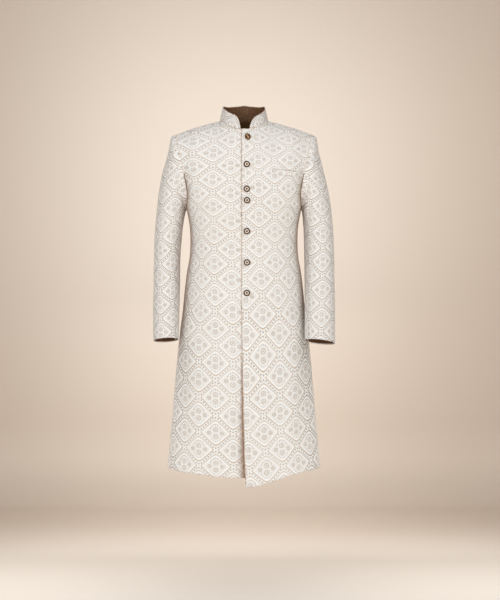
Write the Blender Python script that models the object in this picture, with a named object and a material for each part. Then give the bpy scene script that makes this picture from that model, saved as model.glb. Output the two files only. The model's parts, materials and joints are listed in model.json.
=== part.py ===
"""A sherwani coat in the hollow shape that it has when it is worn, buttoned to the waist.

Metres, +Z up. The front faces -Y and the wearer's left is +X. The origin is the middle of the
neck's base, level with the points where the shoulder seams run into the collar.
"""

import math
from bisect import bisect_right
from collections import namedtuple
from functools import lru_cache

import bpy
from mathutils import Vector


class Table:
    """Rows of sizes under named columns, read on a soft curve that passes through every row."""

    def __init__(self, names, *rows):
        self.keys = [row[0] for row in rows]
        self.columns = dict(zip(names.split(), zip(*rows)))

    def slope(self, values, k):
        """How fast a column changes at one row, judged by the rows on both sides of it."""
        below, above = max(k - 1, 0), min(k + 1, len(values) - 1)
        return (values[above] - values[below]) / (self.keys[above] - self.keys[below])

    def read(self, column, at):
        """A column's value at any value of the first column, held level past the ends."""
        keys, values = self.keys, self.columns[column]
        at = min(max(at, keys[0]), keys[-1])
        i = min(bisect_right(keys, at), len(keys) - 1) - 1
        span = keys[i + 1] - keys[i]
        t = (at - keys[i]) / span
        start = (1 + 2 * t) * (1 - t) ** 2 * values[i]
        start += t * (1 - t) ** 2 * span * self.slope(values, i)
        end = t * t * (3 - 2 * t) * values[i + 1]
        end -= t * t * (1 - t) * span * self.slope(values, i + 1)
        return start + end


# Cloth and seams
WALL = 0.0020
SEAM = 0.0004
ARMHOLE_GAP = 0.0007
BACK_SHARE = 0.99999
NORMAL_STEP = 0.004
SHARP_ANGLE = 40.0
SEARCH_STEPS = 40

# The body: each row is one level section, from the hem up to the armpit
BODY = Table(
    "z half_width front back square",
    (-1.140, 0.2460, 0.163, 0.172, 2.10),
    (-1.078, 0.2405, 0.160, 0.169, 2.10),
    (-0.995, 0.2325, 0.156, 0.163, 2.10),
    (-0.885, 0.2225, 0.149, 0.154, 2.10),
    (-0.760, 0.2120, 0.139, 0.143, 2.08),
    (-0.660, 0.2020, 0.130, 0.134, 2.05),
    (-0.590, 0.1930, 0.124, 0.127, 2.05),
    (-0.530, 0.1870, 0.119, 0.119, 2.10),
    (-0.466, 0.1795, 0.114, 0.110, 2.15),
    (-0.422, 0.1715, 0.111, 0.104, 2.20),
    (-0.370, 0.1685, 0.111, 0.102, 2.25),
    (-0.320, 0.1710, 0.116, 0.108, 2.35),
    (-0.270, 0.1800, 0.121, 0.116, 2.40),
    (-0.200, 0.1900, 0.122, 0.119, 2.40),
)
ARMPIT = -0.270

# The hem hangs lower at the front than at the sides, and most on the front that lies on top
SIDE_HEM = -1.078
Drop = namedtuple("Drop", "depth gather")
LEFT_DROP = Drop(0.047, 3.2)
RIGHT_DROP = Drop(0.018, 1.6)
BACK_DROP = Drop(0.0, 1.0)

# The front edges: how far the left front laps over, and the right one under
LAPS = Table(
    "z over under recess",
    (-1.140, 0.0070, 0.024, 0.0095),
    (-1.030, 0.0025, 0.022, 0.0085),
    (-0.810, -0.0030, 0.020, 0.0055),
    (-0.560, -0.0072, 0.018, 0.0030),
    (-0.300, -0.0073, 0.018, 0.0030),
    (0.020, -0.0073, 0.018, 0.0030),
)
RECESS_STARTS = 0.040
RECESS_ENDS = 0.004

# Neck and shoulders: the line that the yoke rises to, of which the collar's oval cuts off the middle
NECK_HALF_WIDTH = 0.0765
NECK_HALF_DEPTH = 0.078
NECK_Y = -0.005
SHOULDER_END = Vector((0.213, 0.0, -0.034))
NECK_TURN = 90 * NECK_HALF_WIDTH / SHOULDER_END.x
SHOULDERS = Table(
    "x y z",
    (0.0000, -0.005, 0.0300),
    (0.0400, -0.005, 0.0225),
    (0.0765, -0.005, 0.0085),
    (0.1250, -0.004, -0.0045),
    (0.1700, -0.002, -0.0185),
    (0.2130, 0.000, -0.0340),
)
BACK_NECK_RISE = 0.010
BACK_NECK_DEPTH = 0.035
ARCH_ROUND = 0.70
NECK_HOLLOW = 0.28
HOLLOW_SCALE = 27 / 4
ARCH_START = 1.15
NECK_TRIALS = 26

# The armhole: an upright oval whose front and back edges cut in towards the chest
ARMHOLE_FRONT = 0.068
ARMHOLE_BACK = 0.074
ARMHOLE_PULL = 3.0
ARMHOLE_START = 0.75
ARMHOLE = Table(
    "z front back",
    (-0.270, 0.1800, 0.1800),
    (-0.225, 0.1760, 0.1800),
    (-0.165, 0.1850, 0.1890),
    (-0.125, 0.1935, 0.1955),
    (-0.080, 0.2035, 0.2040),
    (-0.034, 0.2130, 0.2130),
)

# The sleeves, from the armhole to the cuff: the inner and outer edge of each ring, and its depth
SLEEVE_HEAD = 0.04
RING = "share x_in z_in x_out z_out y half_depth lean"
RIGHT_SLEEVE = Table(
    RING,
    (0.00, 0.1810, -0.271, 0.2180, -0.0325, 0.003, 0.0710, 0.0),
    (0.02, 0.1822, -0.273, 0.2250, -0.0350, 0.003, 0.0715, 0.0),
    (0.04, 0.1835, -0.276, 0.2300, -0.0440, 0.004, 0.0720, 0.0),
    (0.10, 0.1865, -0.288, 0.2385, -0.0880, 0.005, 0.0725, 0.0),
    (0.16, 0.1890, -0.300, 0.2490, -0.1260, 0.006, 0.0725, 0.0),
    (0.22, 0.1910, -0.313, 0.2600, -0.1650, 0.007, 0.0720, 0.0),
    (0.30, 0.1935, -0.330, 0.2695, -0.2200, 0.008, 0.0710, 0.0),
    (0.38, 0.1955, -0.352, 0.2760, -0.2800, 0.009, 0.0690, 0.0),
    (0.47, 0.1990, -0.390, 0.2815, -0.3450, 0.008, 0.0665, 1.5),
    (0.57, 0.2010, -0.440, 0.2835, -0.4150, 0.003, 0.0640, 4.0),
    (0.68, 0.2010, -0.502, 0.2840, -0.4900, -0.010, 0.0610, 6.5),
    (0.79, 0.2015, -0.567, 0.2840, -0.5640, -0.029, 0.0580, 8.0),
    (0.90, 0.2020, -0.629, 0.2830, -0.6280, -0.047, 0.0555, 9.0),
    (1.00, 0.2025, -0.676, 0.2815, -0.6810, -0.061, 0.0540, 9.0),
)
LEFT_SLEEVE = Table(
    RING,
    (0.00, 0.1810, -0.271, 0.2180, -0.0330, 0.003, 0.0710, 0.0),
    (0.02, 0.1820, -0.274, 0.2245, -0.0360, 0.003, 0.0715, 0.0),
    (0.04, 0.1830, -0.278, 0.2290, -0.0455, 0.004, 0.0720, 0.0),
    (0.10, 0.1845, -0.290, 0.2360, -0.0880, 0.005, 0.0720, 0.0),
    (0.16, 0.1855, -0.302, 0.2460, -0.1260, 0.006, 0.0715, 0.0),
    (0.22, 0.1865, -0.315, 0.2555, -0.1650, 0.006, 0.0705, 0.0),
    (0.30, 0.1880, -0.335, 0.2680, -0.2200, 0.006, 0.0690, 0.0),
    (0.38, 0.1890, -0.360, 0.2770, -0.2850, 0.005, 0.0670, 0.0),
    (0.47, 0.1895, -0.398, 0.2820, -0.3500, 0.001, 0.0645, 2.0),
    (0.57, 0.1900, -0.448, 0.2835, -0.4200, -0.008, 0.0615, 5.0),
    (0.68, 0.1900, -0.508, 0.2840, -0.4950, -0.026, 0.0580, 7.5),
    (0.79, 0.1895, -0.571, 0.2840, -0.5680, -0.048, 0.0545, 9.0),
    (0.90, 0.1885, -0.632, 0.2830, -0.6330, -0.068, 0.0520, 10.0),
    (1.00, 0.1880, -0.678, 0.2825, -0.6890, -0.083, 0.0505, 10.0),
)
UNDER_SLEEVE_TURN = 40.0
SLEEVE_SEAM_TURN = 0.22
SLEEVE_ROW_SPREAD = 1.25
RIGHT = -1
LEFT = 1

# The band collar
COLLAR_HEIGHT = 0.049
COLLAR_LEAN = 0.0110
COLLAR_WALL = 0.0026
COLLAR_GAP = 0.0012
COLLAR_RIGHT_END = -8.0
COLLAR_LEFT_END = 13.5
COLLAR_FRONT_RIGHT = 0.041
COLLAR_FRONT_LEFT = 0.0345
COLLAR_CURVE_RIGHT = 0.024
COLLAR_CURVE_LEFT = 0.030
COLLAR_CURVE_POWER = 0.60
COLLAR_TIP_HEIGHT = 0.006
COLLAR_RISE_START = 62.0
COLLAR_RISE_END = 112.0
COLLAR_TIP_TURN = 26.0
NECKLINE_STEPS = 14

# Buttons: the oval top one, then the round ones
Button = namedtuple("Button", "x z half_width half_height")
BUTTONS = (
    Button(0.0120, -0.0500, 0.0087, 0.0108),
    Button(0.0092, -0.1368, 0.0098, 0.0098),
    Button(0.0090, -0.2130, 0.0098, 0.0098),
    Button(0.0100, -0.2480, 0.0098, 0.0098),
    Button(0.0095, -0.3425, 0.0098, 0.0098),
    Button(0.0095, -0.4390, 0.0098, 0.0098),
    Button(0.0093, -0.5326, 0.0098, 0.0098),
)
BUTTON_SIDES = 16
BUTTON_GAP = 0.0007
Turned = namedtuple("Turned", "reach height")
BUTTON_PROFILE = (
    Turned(0.90, 0.0000),
    Turned(1.00, 0.0008),
    Turned(1.00, 0.0022),
    Turned(0.86, 0.0032),
    Turned(0.66, 0.0026),
    Turned(0.34, 0.0030),
    Turned(0.22, 0.0038),
)

# The breast pocket's welt
WELT_INNER = Vector((0.089, 0.0, -0.1535))
WELT_OUTER = Vector((0.166, 0.0, -0.1600))
WELT_DEEP = 0.014
WELT_WALL = 0.0016

# How finely each piece is divided
NECK_COLUMNS = 7
BACK_NECK_COLUMNS = 12
SHOULDER_COLUMNS = 8
SKIRT_ROWS = 18
YOKE_ROWS = 12
TOP_SLEEVE_COLUMNS = 14
UNDER_SLEEVE_COLUMNS = 7
SLEEVE_ROWS = 24
COLLAR_TIP_COLUMNS = 7
COLLAR_BACK_COLUMNS = 28
COLLAR_ROWS = 3
WELT_COLUMNS = 8
WELT_ROWS = 2

Finish = namedtuple("Finish", "colour roughness metallic")
BROCADE = Finish((0.86, 0.82, 0.75, 1.0), 0.55, 0.0)
BUTTON_METAL = Finish((0.20, 0.11, 0.05, 1.0), 0.35, 0.7)


def ease(value):
    """A soft step from 0 to 1."""
    value = min(max(value, 0.0), 1.0)
    return value * value * (3 - 2 * value)


def section(turn, z):
    """The coat's outside at one height. Turn is 0 in front, 90 at the wearer's left, 180 behind."""
    across = math.sin(math.radians(turn))
    along = -math.cos(math.radians(turn))
    width = BODY.read("half_width", z)
    depth = BODY.read("front" if along < 0 else "back", z)
    square = BODY.read("square", z)
    reach = (abs(across / width) ** square + abs(along / depth) ** square) ** (-1 / square)
    return Vector((reach * across, reach * along, z))


def ridge(x, in_front):
    """The line that the front and the back rise to. Between the necklines each has its own."""
    inside = 0 if in_front else max(1 - (x / NECK_HALF_WIDTH) ** 2, 0) ** 1.5
    y = SHOULDERS.read("y", x) + BACK_NECK_DEPTH * inside
    return Vector((x, y, SHOULDERS.read("z", x) + BACK_NECK_RISE * inside))


def armhole(side, turn):
    """The armhole's edge. Turn is 0 under the arm, 90 in front, 180 on the shoulder, 270 behind."""
    middle = (SHOULDER_END.z + ARMPIT) / 2
    half = (SHOULDER_END.z - ARMPIT) / 2
    forward = math.sin(math.radians(turn))
    z = middle - half * math.cos(math.radians(turn))
    in_front = forward >= 0
    y = -forward * (ARMHOLE_FRONT if in_front else ARMHOLE_BACK)
    return Vector((side * ARMHOLE.read("front" if in_front else "back", z), y, z))


def arch(turn, climb):
    """The yoke with nothing cut out: a column that rises from the chest and leans in over the top."""
    side = math.copysign(1, turn)
    in_front = abs(turn) <= 90
    away = abs(turn) if in_front else 180 - abs(turn)
    low = section(turn, ARMPIT)
    high = ridge(SHOULDER_END.x * away / 90, in_front)
    angle = math.radians(90) * climb**ARCH_START
    beside_neck = min(high.x / NECK_HALF_WIDTH, 2) / 2
    hollow = NECK_HOLLOW * HOLLOW_SCALE * beside_neck**2 * (1 - beside_neck) if in_front else 0
    rise = math.sin(angle)
    lean = 1 - abs(math.cos(angle)) ** (ARCH_ROUND + hollow)
    x = low.x + (side * high.x - low.x) * rise
    return Vector((x, low.y + (high.y - low.y) * lean, low.z + (high.z - low.z) * rise))


def yoke(turn, climb):
    """The coat above the armpit, with its edge drawn in to the armhole."""
    side = math.copysign(1, turn)
    in_front = abs(turn) <= 90
    away = abs(turn) if in_front else 180 - abs(turn)
    around = 180 * climb**ARMHOLE_START
    edge = armhole(side, around if in_front else 360 - around)
    return arch(turn, climb) + (away / 90) ** ARMHOLE_PULL * (edge - arch(side * 90, climb))


def neck_oval(point):
    """Less than 1 inside the collar's oval, seen from above."""
    return (point.x / NECK_HALF_WIDTH) ** 2 + ((point.y - NECK_Y) / NECK_HALF_DEPTH) ** 2


@lru_cache(maxsize=None)
def neck_climb(turn):
    """How far a column climbs before it meets the collar, or 1 where it reaches the shoulder."""
    away = min(abs(turn), 180 - abs(turn))
    if away > NECK_TURN - 0.001:
        return 1.0
    low, high = 0.3, 1.0
    for _ in range(NECK_TRIALS):
        middle = (low + high) / 2
        if neck_oval(yoke(turn, middle)) > 1:
            low = middle
        else:
            high = middle
    return low


def body(turn, level, drop):
    """The coat's outside. Level is 0 at the hem, 1 at the armpit, 2 at the neckline and shoulders."""
    if level <= 1:
        forward = max(math.cos(math.radians(turn)), 0)
        hem = SIDE_HEM - drop.depth * forward**drop.gather
        return section(turn, hem + (ARMPIT - hem) * level)
    turn = (turn + 180) % 360 - 180
    return yoke(turn, (level - 1) * neck_climb(turn))


def collar_foot():
    """The height of the neckline all round one side, as a table of the turn about the neck."""
    rows = []
    columns = [NECK_TURN * i / NECKLINE_STEPS for i in range(NECKLINE_STEPS + 1)]
    for turn in columns + [180 - away for away in reversed(columns)]:
        point = yoke(turn, neck_climb(turn))
        along = (NECK_Y - point.y) / NECK_HALF_DEPTH
        rows.append((math.degrees(math.atan2(point.x / NECK_HALF_WIDTH, along)), point.z))
    front, behind = rows[: len(columns)], rows[len(columns) + 1 :]
    return Table("turn z", *front, *behind)


def neck(turn):
    """The neckline, where the collar stands. Turn is 0 in front and 180 behind."""
    x = NECK_HALF_WIDTH * math.sin(math.radians(turn))
    y = NECK_Y - NECK_HALF_DEPTH * math.cos(math.radians(turn))
    away = abs((turn + 180) % 360 - 180)
    return Vector((x, y, COLLAR_FOOT.read("z", away)))


def lap_turn(z, column):
    """The turn at which a front edge lies, at one height."""
    depth = BODY.read("front", min(z, ARMPIT))
    return math.degrees(math.atan2(LAPS.read(column, z), depth))


def spread(share, counts, stops):
    """A share of a piece's rows or columns, as a value that has each stop on a row of its own."""
    step = share * sum(counts)
    for count, start, end in zip(counts, stops, stops[1:]):
        if step <= count:
            break
        step -= count
    return start + (end - start) * step / count


def level_of(share):
    """The level for a share of a panel's rows: the skirt's rows first, then the yoke's."""
    return spread(share, (SKIRT_ROWS, YOKE_ROWS), (0, 1, 2))


COLLAR_FOOT = collar_foot()


def left_front(u, v):
    """The wearer's left front, which lies on top, from its edge to the side seam."""
    level = level_of(v)
    first = lap_turn(body(0, level, LEFT_DROP).z, "over")
    stops = (first, NECK_TURN, 90)
    return body(spread(u, (NECK_COLUMNS, SHOULDER_COLUMNS), stops), level, LEFT_DROP)


def right_front(u, v):
    """The wearer's right front, from its side seam to the edge that hides under the left one."""
    level = level_of(v)
    z = body(0, level, RIGHT_DROP).z
    stops = (-90, -NECK_TURN, lap_turn(z, "under"))
    point = body(spread(u, (SHOULDER_COLUMNS, NECK_COLUMNS), stops), level, RIGHT_DROP)
    start = LAPS.read("over", z) - RECESS_STARTS
    end = LAPS.read("over", z) - RECESS_ENDS
    point.y += LAPS.read("recess", z) * ease((point.x - start) / (end - start))
    return point


def back(u, v):
    """The back, in one piece from side seam to side seam, a seam's gap behind the fronts."""
    stops = (90, 180 - NECK_TURN, 180 + NECK_TURN, 270)
    counts = (SHOULDER_COLUMNS, BACK_NECK_COLUMNS, SHOULDER_COLUMNS)
    turn = spread(u, counts, stops)
    behind = 180 + (turn - 180) * BACK_SHARE
    return body(behind, level_of(v), BACK_DROP) + Vector((0, SEAM, 0))


def sleeve_ring(rings, side, turn, share):
    """A sleeve's outside. Turn is 0 next to the body, 90 in front, 180 outside, 270 behind."""
    x_in, z_in = rings.read("x_in", share), rings.read("z_in", share)
    x_out, z_out = rings.read("x_out", share), rings.read("z_out", share)
    inward = (1 + math.cos(math.radians(turn))) / 2
    forward = math.sin(math.radians(turn)) * rings.read("half_depth", share)
    lean = math.radians(rings.read("lean", share))
    x = x_out + (x_in - x_out) * inward
    y = rings.read("y", share) - forward * math.cos(lean)
    z = z_out + (z_in - z_out) * inward + forward * math.sin(lean)
    ring = Vector((side * x, y, z))
    seam = armhole(side, turn) + Vector((side * ARMHOLE_GAP, 0, 0))
    return seam.lerp(ring, ease(share / SLEEVE_HEAD))


def sleeve(rings, side, first, last):
    """The function of a sleeve's piece between two turns, with its rows from the cuff upwards."""

    def outside(u, v):
        along = u if side == LEFT else 1 - u
        share = (1 - v) ** SLEEVE_ROW_SPREAD
        return sleeve_ring(rings, side, (first + (last - first) * along) % 360, share)

    return outside


def collar_height(turn):
    """The collar's height: lower in front than behind, with a round corner at each end."""
    if turn < 180:
        away, from_tip = turn, turn - COLLAR_LEFT_END
        front, curve = COLLAR_FRONT_LEFT, COLLAR_CURVE_LEFT
    else:
        away, from_tip = 360 - turn, 360 + COLLAR_RIGHT_END - turn
        front, curve = COLLAR_FRONT_RIGHT, COLLAR_CURVE_RIGHT
    rise = ease((away - COLLAR_RISE_START) / (COLLAR_RISE_END - COLLAR_RISE_START))
    corner = 1 - (1 - min(NECK_HALF_DEPTH * math.radians(from_tip) / curve, 1)) ** 2
    height = (front + (COLLAR_HEIGHT - front) * rise) * max(corner, 0) ** COLLAR_CURVE_POWER
    return max(height, COLLAR_TIP_HEIGHT)


def collar(u, v):
    """The band collar's outside, from its left end round the back to its right end."""
    first, last = COLLAR_LEFT_END, 360 + COLLAR_RIGHT_END
    stops = (first, first + COLLAR_TIP_TURN, last - COLLAR_TIP_TURN, last)
    turn = spread(u, (COLLAR_TIP_COLUMNS, COLLAR_BACK_COLUMNS, COLLAR_TIP_COLUMNS), stops)
    foot = neck(turn)
    up = COLLAR_GAP + (collar_height(turn) - COLLAR_GAP) * v
    inward = COLLAR_LEAN * up / COLLAR_HEIGHT
    middle = Vector((0, NECK_Y, foot.z))
    out = (foot - middle).normalized()
    return foot - out * inward + Vector((0, 0, up))


def normal_of(outside, u, v):
    """The direction away from the cloth at one point of a piece."""
    left, right = max(u - NORMAL_STEP, 0), min(u + NORMAL_STEP, 1)
    low, high = max(v - NORMAL_STEP, 0), min(v + NORMAL_STEP, 1)
    across = outside(right, v) - outside(left, v)
    upward = outside(u, high) - outside(u, low)
    return across.cross(upward).normalized()


def finish_of(name, finish):
    """A material of one colour."""
    material = bpy.data.materials.new(name)
    material.use_nodes = True
    shader = material.node_tree.nodes["Principled BSDF"]
    shader.inputs["Base Color"].default_value = finish.colour
    shader.inputs["Roughness"].default_value = finish.roughness
    shader.inputs["Metallic"].default_value = finish.metallic
    return material


def add_object(name, points, faces, material):
    """A smooth-shaded mesh object with its place in its mesh."""
    mesh = bpy.data.meshes.new(name)
    mesh.from_pydata([tuple(point) for point in points], [], faces)
    mesh.materials.append(material)
    mesh.validate()
    mesh.shade_smooth()
    mesh.set_sharp_from_angle(angle=math.radians(SHARP_ANGLE))
    thing = bpy.data.objects.new(name, mesh)
    bpy.context.scene.collection.objects.link(thing)
    return thing


def add_cloth(name, outside, columns, rows, material, wall=WALL, lift=0.0):
    """A closed wall of cloth: an outer grid raised by the lift, one behind it and their edge."""
    outer, inner = [], []
    for j in range(rows + 1):
        for i in range(columns + 1):
            u, v = i / columns, j / rows
            normal = normal_of(outside, u, v)
            outer.append(outside(u, v) + normal * lift)
            inner.append(outer[-1] - normal * wall)
    width = columns + 1
    count = len(outer)
    faces = []
    for j in range(rows):
        for i in range(columns):
            a = j * width + i
            faces.append((a, a + 1, a + 1 + width, a + width))
            faces.append((count + a + width, count + a + 1 + width, count + a + 1, count + a))
    rim = list(range(columns))
    rim += [j * width + columns for j in range(rows)]
    rim += [rows * width + i for i in range(columns, 0, -1)]
    rim += [j * width for j in range(rows, 0, -1)]
    for a, b in zip(rim, rim[1:] + rim[:1]):
        faces.append((b, a, count + a, count + b))
    return add_object(name, outer + inner, faces, material)


def front_place(x, z):
    """The share across and up the left front at which its outside passes a given x and z."""
    u, v = 0.3, 0.7
    for _ in range(SEARCH_STEPS):
        point = left_front(u, v)
        across = left_front(u + NORMAL_STEP, v) - point
        upward = left_front(u, v + NORMAL_STEP) - point
        scale = NORMAL_STEP / (across.x * upward.z - upward.x * across.z)
        u += ((x - point.x) * upward.z - upward.x * (z - point.z)) * scale
        v += (across.x * (z - point.z) - (x - point.x) * across.z) * scale
        u, v = min(max(u, 0.0), 0.99), min(max(v, 0.0), 0.99)
    return u, v


def add_button(name, button, material):
    """A turned button with a raised rim and a boss, just off the cloth that it is sewn to."""
    u, v = front_place(button.x, button.z)
    out = normal_of(left_front, u, v)
    across = Vector((0, 0, 1)).cross(out).normalized()
    upward = out.cross(across).normalized()
    middle = left_front(u, v) + out * BUTTON_GAP
    points = []
    for step in BUTTON_PROFILE:
        for i in range(BUTTON_SIDES):
            angle = math.tau * i / BUTTON_SIDES
            sideways = across * math.cos(angle) * button.half_width
            upright = upward * math.sin(angle) * button.half_height
            points.append(middle + (sideways + upright) * step.reach + out * step.height)
    faces = [tuple(reversed(range(BUTTON_SIDES)))]
    for k in range(len(BUTTON_PROFILE) - 1):
        for i in range(BUTTON_SIDES):
            a = k * BUTTON_SIDES + i
            b = k * BUTTON_SIDES + (i + 1) % BUTTON_SIDES
            faces.append((a, b, b + BUTTON_SIDES, a + BUTTON_SIDES))
    last = (len(BUTTON_PROFILE) - 1) * BUTTON_SIDES
    faces.append(tuple(range(last, last + BUTTON_SIDES)))
    return add_object(name, points, faces, material)


def welt(u, v):
    """The pocket's welt, on the left front's own outside."""
    top = WELT_INNER.lerp(WELT_OUTER, u)
    place = front_place(top.x, top.z - WELT_DEEP * (1 - v))
    return left_front(*place)


def main():
    for thing in list(bpy.data.objects):
        bpy.data.objects.remove(thing)
    brocade = finish_of("brocade", BROCADE)
    metal = finish_of("button_metal", BUTTON_METAL)
    rows = SKIRT_ROWS + YOKE_ROWS
    half = NECK_COLUMNS + SHOULDER_COLUMNS
    add_cloth("front_left", left_front, half, rows, brocade)
    add_cloth("front_right", right_front, half, rows, brocade)
    add_cloth("back", back, BACK_NECK_COLUMNS + 2 * SHOULDER_COLUMNS, rows, brocade)
    for side, rings, name in ((LEFT, LEFT_SLEEVE, "left"), (RIGHT, RIGHT_SLEEVE, "right")):
        first = UNDER_SLEEVE_TURN + SLEEVE_SEAM_TURN
        top = sleeve(rings, side, first, 360 - first)
        add_cloth(f"sleeve_{name}_top", top, TOP_SLEEVE_COLUMNS, SLEEVE_ROWS, brocade)
        last = UNDER_SLEEVE_TURN - SLEEVE_SEAM_TURN
        under = sleeve(rings, side, -last, last)
        add_cloth(f"sleeve_{name}_under", under, UNDER_SLEEVE_COLUMNS, SLEEVE_ROWS, brocade)
    around = COLLAR_BACK_COLUMNS + 2 * COLLAR_TIP_COLUMNS
    add_cloth("collar", collar, around, COLLAR_ROWS, brocade, wall=COLLAR_WALL)
    lift = SEAM + WELT_WALL
    add_cloth("pocket_welt", welt, WELT_COLUMNS, WELT_ROWS, brocade, wall=WELT_WALL, lift=lift)
    for number, button in enumerate(BUTTONS, start=1):
        add_button(f"button_{number}", button, metal)


main()
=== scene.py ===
# %% [markdown]
# # A sherwani coat in cream brocade
#
# A sherwani is a long coat with a band collar, buttoned down the front. It is tailored from a
# stiff woven brocade over a lining, so it keeps the wearer's shape with hardly a fold. This
# lesson dresses a plain model of one, cut piece by cut piece. It shows how to lay a woven figure
# on curved cloth, how to give a thin shell a turned edge, and how to sew with Geometry Nodes.
#
# All sizes are in metres, +Z is up, the front faces -Y and the wearer's left is +X.

import json
import math
from collections import namedtuple

import bpy
import numpy as np
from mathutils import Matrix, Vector

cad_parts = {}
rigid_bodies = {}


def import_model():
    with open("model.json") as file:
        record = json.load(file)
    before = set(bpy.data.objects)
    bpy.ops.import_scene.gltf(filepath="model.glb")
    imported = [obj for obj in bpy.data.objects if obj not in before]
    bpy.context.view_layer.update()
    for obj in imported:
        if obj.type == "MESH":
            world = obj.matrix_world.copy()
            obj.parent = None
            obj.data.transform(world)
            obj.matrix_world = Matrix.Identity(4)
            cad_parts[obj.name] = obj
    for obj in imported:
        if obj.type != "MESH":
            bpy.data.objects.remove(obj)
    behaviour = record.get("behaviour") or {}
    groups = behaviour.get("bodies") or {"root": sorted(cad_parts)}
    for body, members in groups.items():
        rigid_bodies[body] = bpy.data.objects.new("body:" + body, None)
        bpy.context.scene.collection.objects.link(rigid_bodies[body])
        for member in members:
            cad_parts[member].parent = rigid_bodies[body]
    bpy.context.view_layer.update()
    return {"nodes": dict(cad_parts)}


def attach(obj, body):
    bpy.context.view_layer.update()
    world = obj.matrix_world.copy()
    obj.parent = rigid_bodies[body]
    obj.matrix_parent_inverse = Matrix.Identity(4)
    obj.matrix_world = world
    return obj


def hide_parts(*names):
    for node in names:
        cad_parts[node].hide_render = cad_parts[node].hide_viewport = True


for leftover in list(bpy.data.objects):
    bpy.data.objects.remove(leftover)
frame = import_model()
print("pieces in the frame:", len(frame["nodes"]))


def placed(name, data):
    """A new object in the scene."""
    thing = bpy.data.objects.new(name, data)
    bpy.context.scene.collection.objects.link(thing)
    return thing


# %% [markdown]
# ## The camera
#
# The coat is seen from straight ahead, as in a shop's catalogue: a long lens from far back, at
# the height of the hips, so that neither the shoulders nor the hem look nearer than they are.
# A short lens close by would make the chest bulge. Blender's sensor width belongs to the
# picture's long side, which is its height here.

# %% Camera
CAMERA_PLACE = (0.019, -4.5, -0.554)
PICTURE_HEIGHT = 1.89
SENSOR = 36.0

camera_data = bpy.data.cameras.new("camera")
camera_data.sensor_width = SENSOR
camera_data.lens = SENSOR * -CAMERA_PLACE[1] / PICTURE_HEIGHT
camera = placed("camera", camera_data)
camera.location = CAMERA_PLACE
camera.rotation_euler = (math.radians(90), 0, 0)
bpy.context.scene.camera = camera
print(f"lens {camera_data.lens:.1f} mm")

# %% [markdown]
# ## The cut
#
# A tailor's block is a short list of measures with smooth lines drawn through them. The same is
# done here: every table holds a few measured rows, and `read` draws the soft curve that passes
# through them. The frame was made from these measures too, so cloth that is laid out with them
# fits it everywhere. Copying the frame's own mesh and subdividing it would be less work, but it
# has no rows or columns to lay a woven figure along.

# %% Tables of measures
class Table:
    """Rows of sizes under named columns, read on a soft curve that passes through every row."""

    def __init__(self, names, *rows):
        self.columns = {name: np.array(values) for name, values in zip(names.split(), zip(*rows))}
        self.keys = self.columns[names.split()[0]]

    def read(self, column, at):
        """A column's value at any values of the first column, held level past the ends."""
        keys, values = self.keys, self.columns[column]
        steep = np.gradient(values, np.arange(len(keys))) / np.gradient(keys, np.arange(len(keys)))
        at = np.clip(at, keys[0], keys[-1])
        i = np.clip(np.searchsorted(keys, at, side="right") - 1, 0, len(keys) - 2)
        span = keys[i + 1] - keys[i]
        t = (at - keys[i]) / span
        start = (1 + 2 * t) * (1 - t) ** 2 * values[i] + t * (1 - t) ** 2 * span * steep[i]
        return start + t * t * (3 - 2 * t) * values[i + 1] - t * t * (1 - t) * span * steep[i + 1]


# %% Body, neck, sleeves and collar
# The cloth with its lining, the gaps that the seams leave, and how nearly the back meets the sides
WALL = 0.0020
SEAM = 0.0004
ARMHOLE_GAP = 0.0007
BACK_SHARE = 0.99999

# The body: each row is one level section, from the hem up to the armpit
BODY = Table(
    "z half_width front back square",
    (-1.140, 0.2460, 0.163, 0.172, 2.10),
    (-1.078, 0.2405, 0.160, 0.169, 2.10),
    (-0.995, 0.2325, 0.156, 0.163, 2.10),
    (-0.885, 0.2225, 0.149, 0.154, 2.10),
    (-0.760, 0.2120, 0.139, 0.143, 2.08),
    (-0.660, 0.2020, 0.130, 0.134, 2.05),
    (-0.590, 0.1930, 0.124, 0.127, 2.05),
    (-0.530, 0.1870, 0.119, 0.119, 2.10),
    (-0.466, 0.1795, 0.114, 0.110, 2.15),
    (-0.422, 0.1715, 0.111, 0.104, 2.20),
    (-0.370, 0.1685, 0.111, 0.102, 2.25),
    (-0.320, 0.1710, 0.116, 0.108, 2.35),
    (-0.270, 0.1800, 0.121, 0.116, 2.40),
    (-0.200, 0.1900, 0.122, 0.119, 2.40),
)
ARMPIT = -0.270

# The hem hangs lower at the front than at the sides, and most on the front that lies on top
SIDE_HEM = -1.078
Drop = namedtuple("Drop", "depth gather")
LEFT_DROP = Drop(0.047, 3.2)
RIGHT_DROP = Drop(0.018, 1.6)
BACK_DROP = Drop(0.0, 1.0)

# The front edges: how far the left front laps over, and the right one under
LAPS = Table(
    "z over under recess",
    (-1.140, 0.0070, 0.024, 0.0095),
    (-1.030, 0.0025, 0.022, 0.0085),
    (-0.810, -0.0030, 0.020, 0.0055),
    (-0.560, -0.0072, 0.018, 0.0030),
    (-0.300, -0.0073, 0.018, 0.0030),
    (0.020, -0.0073, 0.018, 0.0030),
)
RECESS_STARTS = 0.040
RECESS_ENDS = 0.004

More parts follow.
